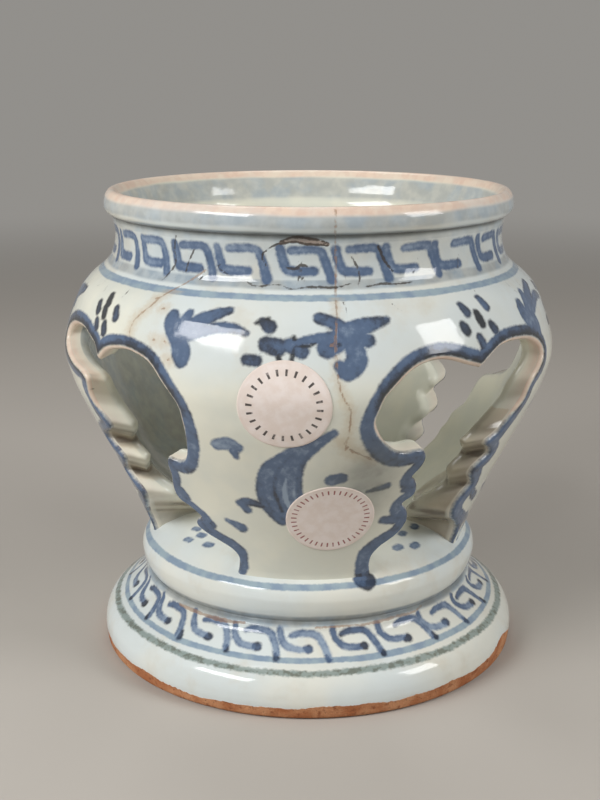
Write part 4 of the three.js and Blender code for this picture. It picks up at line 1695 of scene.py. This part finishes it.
def linear(code: str) -> tuple[float, ...]:
    """Turns an sRGB hex code into linear RGBA.

    Args:
        code: six hex digits.

    Returns:
        Red, green and blue from 0 to 1 along the sRGB curve, and an alpha of 1.
    """
    parts = [int(code[i : i + 2], 16) / 255 for i in (0, 2, 4)]
    bend = [c / 12.92 if c <= 0.04045 else ((c + 0.055) / 1.055) ** 2.4 for c in parts]
    return (*bend, 1.0)


@dataclass(frozen=True)
class Cloud:
    """Cloudy patches: their size in mm, the noise at which they start and are full, and how fine they are.

    They go from least to most, softly or, for relief, straight. The noise lies between about 0.3 and 0.7.
    """

    size: float
    low: float = 0.35
    high: float = 0.65
    detail: float = 3.0
    roughness: float = 0.5
    least: float = 0.0
    most: float = 1.0
    soft: bool = True


@dataclass(frozen=True)
class Coat:
    """The colour of one coat: one hex code, or two that a cloud goes between."""

    start: str
    end: str = ""
    cloud: Cloud = Cloud(5.0)


def straight(size: float, detail: float, least: float, most: float, roughness: float = 0.5) -> Cloud:
    """Makes a cloud that follows its noise straight, from least at 0 to most at 1."""
    return Cloud(size, 0.0, 1.0, detail, roughness, least, most, False)


class NodeSheet:
    """The node tree of a material or of the world, grown by one small helper."""

    def __init__(self, owner: bpy.types.Material | bpy.types.World) -> None:
        """Empties the tree.

        Args:
            owner: the material or world that the tree belongs to.
        """
        owner.use_nodes = True
        self.owner = owner
        self.tree = owner.node_tree
        self.tree.nodes.clear()

    def add(self, kind: str, inputs: dict | tuple = (), out: int | str = 0, **settings: str | bool) -> Socket:
        """Adds a node.

        Args:
            kind: the node's type, without the leading ShaderNode.
            inputs: values or sockets, in order or by the name or number of the input.
            out: the name or number of the wanted output.
            settings: properties of the node.

        Returns:
            The output.
        """
        node = self.tree.nodes.new("ShaderNode" + kind)
        for key, value in settings.items():
            setattr(node, key, value)
        for key, value in inputs.items() if isinstance(inputs, dict) else enumerate(inputs):
            if isinstance(value, Socket):
                self.tree.links.new(value, node.inputs[key])
            else:
                node.inputs[key].default_value = value
        return node.outputs[out]

    def seen(self) -> Socket:
        """Tells the rays that show the backdrop from those that light the scene.

        Returns:
            1 for what the eye, glaze or glass sees, and else 0.
        """
        seen = self.add("LightPath", out="Is Camera Ray")
        for ray in ("Is Glossy Ray", "Is Transmission Ray"):
            seen = self.add("Math", (seen, self.add("LightPath", out=ray)), **GREATEST)
        return seen

    def finish(self, output: str, surface: Socket) -> bpy.types.Material | bpy.types.World:
        """Joins a surface to the tree's output.

        Args:
            output: the output's kind.
            surface: what is seen.

        Returns:
            The owner.
        """
        end = self.tree.nodes.new("ShaderNode" + output)
        self.tree.links.new(surface, end.inputs["Surface"])
        return self.owner


class Surface(NodeSheet):
    """A material whose patterns are read at places on the piece."""

    def __init__(self, name: str) -> None:
        """Makes an empty material under a name."""
        super().__init__(bpy.data.materials.new(name))
        self.place = self.add("TexCoord", out="Object")

    def read(self, name: str) -> Socket:
        """Reads a painted value of the piece."""
        return self.add("Attribute", out="Fac", attribute_name=name)

    def patches(self, cloud: Cloud) -> Socket:
        """Spreads cloudy patches over the piece.

        Args:
            cloud: the patches.

        Returns:
            Values between the cloud's least and most.
        """
        inputs = {"Vector": self.place, "Scale": 1 / (cloud.size * MM), "Detail": cloud.detail}
        noise = self.add("TexNoise", inputs | {"Roughness": cloud.roughness})
        spread = (noise, cloud.low, cloud.high, cloud.least, cloud.most)
        return self.add("MapRange", spread, **(SMOOTH if cloud.soft else {}))

    def lay(self, ground: Socket, share: Socket, coat: Coat) -> Socket:
        """Lays a coat over a ground.

        Args:
            ground: the colour below.
            share: how fully the coat covers it.
            coat: the coat.

        Returns:
            The colour of both.
        """
        return self.add("Mix", {0: share, 6: ground, 7: self.tinted(coat)}, 2, data_type="RGBA")

    def tinted(self, coat: Coat) -> Socket | tuple:
        """Gives the colour of a coat, clouded where it has two.

        Args:
            coat: the coat.

        Returns:
            A socket, or a plain colour.
        """
        if not coat.end:
            return linear(coat.start)
        inputs = {0: self.patches(coat.cloud), 6: linear(coat.start), 7: linear(coat.end)}
        return self.add("Mix", inputs, 2, data_type="RGBA")

    def frayed(self, layer: str, amount: float) -> Socket:
        """Reads a depth layer with its edge made uneven by amount mm."""
        fray = self.patches(straight(1.3, 4.0, -2 * amount, 2 * amount))
        return self.add("Math", (self.read(layer), fray), **PLUS)

    def mark(self, layer: str, amount: float, low: float, high: float, most: float = 1.0) -> Socket:
        """Finds how fully a painted mark covers.

        Args:
            layer: its depth layer.
            amount: how uneven its edge is, in mm.
            low: the depth in mm at which it starts.
            high: the depth at which it is full.
            most: how fully it covers there.

        Returns:
            Shares from 0 to most.
        """
        return self.add("MapRange", (self.frayed(layer, amount), low, high, 0.0, most), **SMOOTH)


class Porcelain(Surface):
    """Porcelain under a clear glossy glaze, painted in cobalt, bare and burnt where unglazed.

    The glaze gives the eye a wet, slightly uneven sheen over bluish white. The cobalt lies under it,
    cloudy, and darker where it gathered. The bare body is dull, sandy and orange brown.
    """

    IOR = 1.5
    GLAZE_ROUGH = Cloud(9.0, least=0.05, most=0.10)
    THIN_ROUGH = 0.10
    OPEN_ROUGH = 0.6
    BARE_ROUGH = 0.88
    BODY = Coat("D4DBDA", "DCDCD2", Cloud(38.0, 0.42, 0.66, 2.0))
    BLUISH = Coat("CFD5D0"), Cloud(5.0, 0.4, 0.75, most=0.25)
    MOTTLE = Coat("CBC2AE"), Cloud(15.0, 0.48, 0.72, 4.0, 0.6, most=0.42)
    # Creamier glaze, low on the wall, on its left and inside; inside it is also a little lighter, as painted
    # light
    CREAM = Coat("E3E1D0", "D8D9CC", Cloud(16.0))
    # Blue-grey wash, also laid as painted shade in the grooves, under the lip and inside the left leg
    WASH = Coat("94A1AB", "9FA3A2", Cloud(9.0, 0.4, 0.6)), Cloud(4.0, 0.3, 0.65, 4.0, least=0.7)
    LINE = Coat("748BA3", "8FA3AF", Cloud(5.0))
    GREEN = Coat("7E8D88", "545D50", Cloud(2.0, 0.45, 0.62, 4.0))
    # Tan stains along cracks and pinholes, and the painted brown reflection on the right window's cut faces
    STAIN = Coat("C2AA86")
    THIN = Coat("E6CDB8", "DFC2AE", Cloud(3.0, 0.4, 0.6)), Cloud(8.0, 0.3, 0.7, 4.0, least=0.6, most=0.95)
    RUST = Coat("76573F", "A67F5C", straight(1.0, 3.0, 0.0, 1.0))
    # Painted shade, dark grey: in the grooves, under the lip, on the cut faces and on the inner skin
    GRIME = Coat("626764", "555856", Cloud(6.0, 0.4, 0.6)), Cloud(5.0, 0.3, 0.7, 2.0, least=0.8)
    CRACK = Coat("3A322B")
    CLAY = Coat("A4653F", "C08A63", Cloud(7.0, detail=4.0))
    BURNT = Coat("8A5233"), Cloud(2.0, 0.56, 0.72, 4.0)
    GRIT = Coat("4A372B"), Cloud(0.7, 0.66, 0.72, 2.0, most=0.7)
    WAVES = (straight(5.0, 2.0, 0.0, 0.05), straight(17.0, 2.0, 0.0, 0.22), straight(1.1, 2.0, 0.0, 0.006))
    SAND = straight(0.6, 3.0, 0.0, 0.35)
    CRACK_DEPTH = 0.12
    COBALT_CLOUD = straight(2.6, 5.0, -0.45, 0.45, 0.62)
    COBALT_PALE = "8C9DB1"
    COBALT_STEPS = ((0.0, 0.5, "4B607F"), (0.5, 0.85, "2A3346"), (0.85, 1.05, "1F2126"))

    def build(self) -> bpy.types.Material:
        """Grows the tree from the body colour outwards to the glaze's sheen.

        Returns:
            The material.
        """
        bare = self.mark("bare", 0.3, -0.12, 0.12)
        crack = self.mark("crack", 0.25, -0.16, 0.12)
        rust = self.mark("rust", 0.25, -0.2, 0.15)
        sides = {0: bare, 6: self._painted(crack, rust), 7: self._clay()}
        color = self.add("Mix", sides, 2, data_type="RGBA")
        opened = self.add("Math", (crack, self.add("Math", (rust, 0.8), **TIMES)), **GREATEST)
        thin = self.add("Math", (self.read("thin"), self.THIN_ROUGH), **TIMES)
        rough = self.add("Math", (self.patches(self.GLAZE_ROUGH), thin), **PLUS)
        for share, most in ((opened, self.OPEN_ROUGH), (bare, self.BARE_ROUGH)):
            rough = self.add("Math", (rough, self.add("Math", (share, most), **TIMES)), **GREATEST)
        inputs = {"Base Color": color, "Roughness": rough, "IOR": self.IOR}
        inputs["Normal"] = self._relief(bare, opened)
        return self.finish("OutputMaterial", self.add("BsdfPrincipled", inputs))

    def _clay(self) -> Socket:
        """Colours the bare body: burnt orange, paler and browner in patches, with dark grit.

        Returns:
            The colour.
        """
        color = self.tinted(self.CLAY)
        for coat, cloud in (self.BURNT, self.GRIT):
            color = self.lay(color, self.patches(cloud), coat)
        return color

    def _painted(self, crack: Socket, rust: Socket) -> Socket:
        """Colours the glazed surface with everything painted and stained on it, and with painted shade.

        Args:
            crack: how open the glaze is.
            rust: how brown it is.

        Returns:
            The colour.
        """
        color = self.tinted(self.BODY)
        for coat, cloud in (self.BLUISH, self.MOTTLE):
            color = self.lay(color, self.patches(cloud), coat)
        color = self.lay(color, self.read("cream"), self.CREAM)
        # Blue-grey wash, and painted shade
        color = self._clouded(color, self.read("wash"), *self.WASH)
        color = self.lay(color, self.mark("line", 0.16, -0.25, 0.35, 0.88), self.LINE)
        color = self.lay(color, self.mark("green", 0.35, -0.45, 0.5, 0.85), self.GREEN)
        # Stains, and the painted brown reflection
        color = self.lay(color, self.mark("stain", 0.8, -2.4, 1.2, 0.42), self.STAIN)
        color = self._cobalt(color)
        rim = self.mark("rim", 0.1, -0.1, 0.35, 0.9)
        color = self._clouded(color, self.add("Math", (self.read("thin"), rim), **GREATEST), *self.THIN)
        color = self.lay(color, self.add("Math", (rust, 0.62), **TIMES), self.RUST)
        # Painted shade
        color = self._clouded(color, self.read("grime"), *self.GRIME)
        return self.lay(color, self.add("Math", (crack, 0.85), **TIMES), self.CRACK)

    def _clouded(self, ground: Socket, share: Socket, coat: Coat, cloud: Cloud) -> Socket:
        """Lays a coat over a ground by a share that is broken up by a cloud."""
        return self.lay(ground, self.add("Math", (share, self.patches(cloud)), **TIMES), coat)

    def _cobalt(self, ground: Socket) -> Socket:
        """Lays the cobalt over a ground colour: pale where thin, near black where it gathered.

        Args:
            ground: the colour below.

        Returns:
            The colour of both.
        """
        depth = self.frayed("cobalt", 0.22)
        pooled = self.add("MapRange", (depth, 0.2, 1.1, 0.1, 0.0), **SMOOTH)
        tone = self.add("Math", (self.read("tone"), pooled), **PLUS)
        tone = self.add("Math", (tone, self.patches(self.COBALT_CLOUD)), use_clamp=True, **PLUS)
        color = linear(self.COBALT_PALE)
        for low, high, code in self.COBALT_STEPS:
            step = self.add("MapRange", (tone, low, high), **SMOOTH)
            color = self.add("Mix", {0: step, 6: color, 7: linear(code)}, 2, data_type="RGBA")
        share = self.add("MapRange", (depth, -0.75, 0.3, 0.0, 0.95), **SMOOTH)
        return self.add("Mix", {0: share, 6: ground, 7: color}, 2, data_type="RGBA")

    def _relief(self, bare: Socket, opened: Socket) -> Socket:
        """Raises the fine relief: glaze waves a few mm across, sandy bare clay, open cracks.

        Args:
            bare: how bare the body is.
            opened: how open the glaze is.

        Returns:
            The surface's normal.
        """
        height = self.add("Math", (self.patches(self.SAND), bare), **TIMES)
        for wave in self.WAVES:
            height = self.add("Math", (height, self.patches(wave)), **PLUS)
        crack = self.add("Math", (opened, self.CRACK_DEPTH), **TIMES)
        height = self.add("Math", (height, crack), operation="SUBTRACT")
        inputs = {"Height": height, "Distance": MM, "Strength": 1.0}
        return self.add("Bump", inputs, "Normal")


@dataclass(frozen=True)
class TickRing:
    """A ring of plain ticks printed on a label: its radius and half length in mm, how many, colour."""

    radius: float
    half: float
    count: float
    color: str


UPPER_TICKS = TickRing(9.6, 0.9, 24.0, "3A3533")
LOWER_TICKS = TickRing(10.6, 0.8, 40.0, "8E4A48")


class LabelPaper(Surface):
    """Coated label paper, off white, with a plain ring of printed ticks.

    It gives the eye a dull flat patch against the glossy glaze.
    """

    ROUGHNESS = 0.7
    PAPER = Coat("EADFD9", "E3D5CC", Cloud(3.0, detail=5.0))
    RUBBED_EDGE = Coat("D9C8BC")
    WORN_INK = Cloud(1.2, 0.3, 0.5, least=0.6, most=0.95)
    FIBRE = straight(0.5, 3.0, 0.0, 1.0)
    FIBRE_RISE = 0.05
    BLUR = 0.1

    def build(self, ticks: TickRing) -> bpy.types.Material:
        """Grows the tree: paper, then ticks where the ring and the spokes cross.

        Args:
            ticks: the ring of ticks.

        Returns:
            The material.
        """
        x, y = self.read("flat_x"), self.read("flat_y")
        squares = tuple(self.add("Math", (side, side), **TIMES) for side in (x, y))
        reach = self.add("Math", (self.add("Math", squares, **PLUS),), operation="SQRT")
        off = self.add("Math", (reach, ticks.radius), operation="SUBTRACT")
        off = self.add("Math", (off,), operation="ABSOLUTE")
        ring = self.add("MapRange", (off, ticks.half + self.BLUR, ticks.half - self.BLUR), **SMOOTH)
        turn = self.add("Math", (x, y), operation="ARCTAN2")
        spoke = self.add("Math", (self.add("Math", (turn, ticks.count), **TIMES),), operation="SINE")
        ink = self.add("Math", (ring, self.add("MapRange", (spoke, 0.55, 0.8), **SMOOTH)), **TIMES)
        ink = self.add("Math", (ink, self.patches(self.WORN_INK)), **TIMES)
        edge = self.add("MapRange", (reach, 11.6, 12.9, 0.0, 0.4), **SMOOTH)
        color = self.lay(self.tinted(self.PAPER), edge, self.RUBBED_EDGE)
        color = self.lay(color, ink, Coat(ticks.color))
        inputs = {"Height": self.patches(self.FIBRE), "Distance": self.FIBRE_RISE * MM, "Strength": 0.6}
        normal = self.add("Bump", inputs, "Normal")
        inputs = {"Base Color": color, "Roughness": self.ROUGHNESS, "Normal": normal}
        return self.finish("OutputMaterial", self.add("BsdfPrincipled", inputs))


class StudioCard(Surface):
    """Pale matt studio card: an even ground that shows soft shadows and fades into the backdrop."""

    CARD = "B9B3AB"
    ROUGHNESS = 0.9
    NEAR, AWAY = 0.45, 1.3

    def build(self, backdrop: str, strength: float) -> bpy.types.Material:
        """Grows the tree.

        Args:
            backdrop: colour that the card fades into, as far as the eye and reflections see.
            strength: how brightly that colour shows.

        Returns:
            The material.
        """
        card = self.add("BsdfPrincipled", {"Base Color": linear(self.CARD), "Roughness": self.ROUGHNESS})
        distance = self.add("VectorMath", (self.place,), "Value", operation="LENGTH")
        faded = self.add("MapRange", (distance, self.NEAR, self.AWAY), **SMOOTH)
        share = self.add("Math", (self.seen(), faded), **TIMES)
        far = self.add("Emission", {"Color": linear(backdrop), "Strength": strength})
        return self.finish("OutputMaterial", self.add("MixShader", (share, card, far)))


# Light, floor and camera


@dataclass(frozen=True)
class Softbox:
    """A square soft light: where it hangs as seen from the stand, its size and its power.

    A fill light only lightens the shadows and isn't mirrored by the glaze.
    """

    name: str
    azimuth: float
    elevation: float
    distance: float
    width: float
    height: float
    power: float
    fill: bool = False


SOFTBOXES = (
    Softbox("softbox_left", -42.5, 33.0, 0.9, 0.46, 0.19, 3.1),
    Softbox("fill_left", -51.0, 28.0, 0.9, 0.54, 0.46, 4.1, True),
    Softbox("softbox_right", 72.0, 27.5, 0.9, 0.29, 0.27, 1.9),
    Softbox("fill_right", 74.0, 32.0, 0.9, 0.42, 0.40, 2.4, True),
    Softbox("softbox_top", 200.0, 62.0, 1.0, 0.5, 0.4, 1.6),
    Softbox("fill_front", 14.0, 18.0, 1.1, 0.8, 0.6, 0.55, True),
)


class Studio:
    """Pale floor, soft lights and the camera that took the photo."""

    AIM = (0.0, 0.0, 0.085)
    FLOOR_REACH = 3.0
    FLOOR_DROP = 0.0002
    BACKDROP = "B8B5B0"
    BACKDROP_STRENGTH = 0.6
    WORLD_STRENGTH = 0.17
    CAMERA_PLACE = (0.0440, -0.3860, 0.1844)
    CAMERA_TILT = 74.782
    CAMERA_TURN = 6.9
    LENS = 54.67
    SENSOR = 36.0
    CLIP_START = 0.01

    def build(self) -> None:
        """Builds the lights, the floor and the camera."""
        for box in SOFTBOXES:
            self.softbox(box)
        self.floor()
        self.world()
        self.camera()

    def softbox(self, box: Softbox) -> None:
        """Hangs one softbox, facing the stand.

        Args:
            box: the light.
        """
        light = bpy.data.lights.new(box.name, "AREA")
        light.shape, light.size, light.size_y = "RECTANGLE", box.width, box.height
        light.energy = box.power
        hung = bpy.data.objects.new(box.name, light)
        hung.visible_glossy = not box.fill
        a, e = math.radians(box.azimuth), math.radians(box.elevation)
        way = Vector((math.sin(a) * math.cos(e), -math.cos(a) * math.cos(e), math.sin(e)))
        hung.location = Vector(self.AIM) + way * box.distance
        hung.rotation_euler = (-way).to_track_quat("-Z", "Y").to_euler()
        bpy.context.scene.collection.objects.link(hung)

    def floor(self) -> None:
        """Lays the pale floor."""
        mesh = bpy.data.meshes.new("floor")
        reach = self.FLOOR_REACH
        corners = [(-reach, -reach, 0), (reach, -reach, 0), (reach, reach, 0), (-reach, reach, 0)]
        mesh.from_pydata(corners, [], [(0, 1, 2, 3)])
        floor = bpy.data.objects.new("floor", mesh)
        floor.location.z = -self.FLOOR_DROP
        bpy.context.scene.collection.objects.link(floor)
        mesh.materials.append(StudioCard("pale studio card").build(self.BACKDROP, self.BACKDROP_STRENGTH))
        floor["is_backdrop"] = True

    def world(self) -> None:
        """Fills the room with soft grey light, before a backdrop that looks paler than it shines."""
        sheet = NodeSheet(bpy.data.worlds.new("studio"))
        spread = (sheet.seen(), 0.0, 1.0, self.WORLD_STRENGTH, self.BACKDROP_STRENGTH)
        inputs = {"Color": linear(self.BACKDROP), "Strength": sheet.add("MapRange", spread)}
        bpy.context.scene.world = sheet.finish("OutputWorld", sheet.add("Background", inputs))

    def camera(self) -> None:
        """Sets the camera where the photo was taken from."""
        data = bpy.data.cameras.new("camera")
        data.lens, data.sensor_width, data.clip_start = self.LENS, self.SENSOR, self.CLIP_START
        camera = bpy.data.objects.new("camera", data)
        camera.location = self.CAMERA_PLACE
        camera.rotation_euler = (math.radians(self.CAMERA_TILT), 0, math.radians(self.CAMERA_TURN))
        bpy.context.scene.collection.objects.link(camera)
        bpy.context.scene.camera = camera
        bpy.context.scene.view_settings.view_transform = "Standard"


# Putting it together


def show(made: bpy.types.Object, finish: Finish, material: bpy.types.Material) -> None:
    """Gives a piece its material, hangs it under the root and hides the CAD node it stands for.

    Args:
        made: the piece, named like the node it stands for and SHOWN.
        finish: the record's slot; not used.
        material: what it is drawn with.
    """
    made.data.materials.append(material)
    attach(made, "root")
    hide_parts(made.name.removesuffix(SHOWN))
    LOG.info("%s: %d faces", made.name, len(made.data.polygons))


def write_sizes() -> None:
    """Gathers the boxes of the CAD and of the shown stand as lists, without writing them."""
    boxes = {"cad": CAD_BOX, "shown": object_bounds()}
    lists = {key: [list(map(float, corner)) for corner in box] for key, box in boxes.items()}


def main() -> None:
    """Builds the stand from the foot up, then the studio."""
    logging.basicConfig(level=logging.INFO, format="%(name)s %(message)s")
    glaze = Porcelain("glazed porcelain painted in cobalt").build()
    biscuit = Porcelain("bare burnt foot with the glaze's edge").build()
    upper_paper = LabelPaper("label paper with dark ticks").build(UPPER_TICKS)
    lower_paper = LabelPaper("label paper with red ticks").build(LOWER_TICKS)
    show(FootRing().build(), Finish.BISCUIT, biscuit)
    show(PLINTH.build(), Finish.GLAZE, glaze)
    show(WaistDrum().build(), Finish.GLAZE, glaze)
    body = PiercedBody()
    for cut in LEG_CUTS:
        show(body.leg(cut), Finish.GLAZE, glaze)
    show(body.shoulder(), Finish.GLAZE, glaze)
    show(NECK.build(), Finish.GLAZE, glaze)
    show(LIP.build(), Finish.GLAZE, glaze)
    show(UPPER_LABEL.build(), Finish.PAPER, upper_paper)
    show(LOWER_LABEL.build(), Finish.PAPER, lower_paper)
    Studio().build()
    write_sizes()


if __name__ == "__main__":
    main()
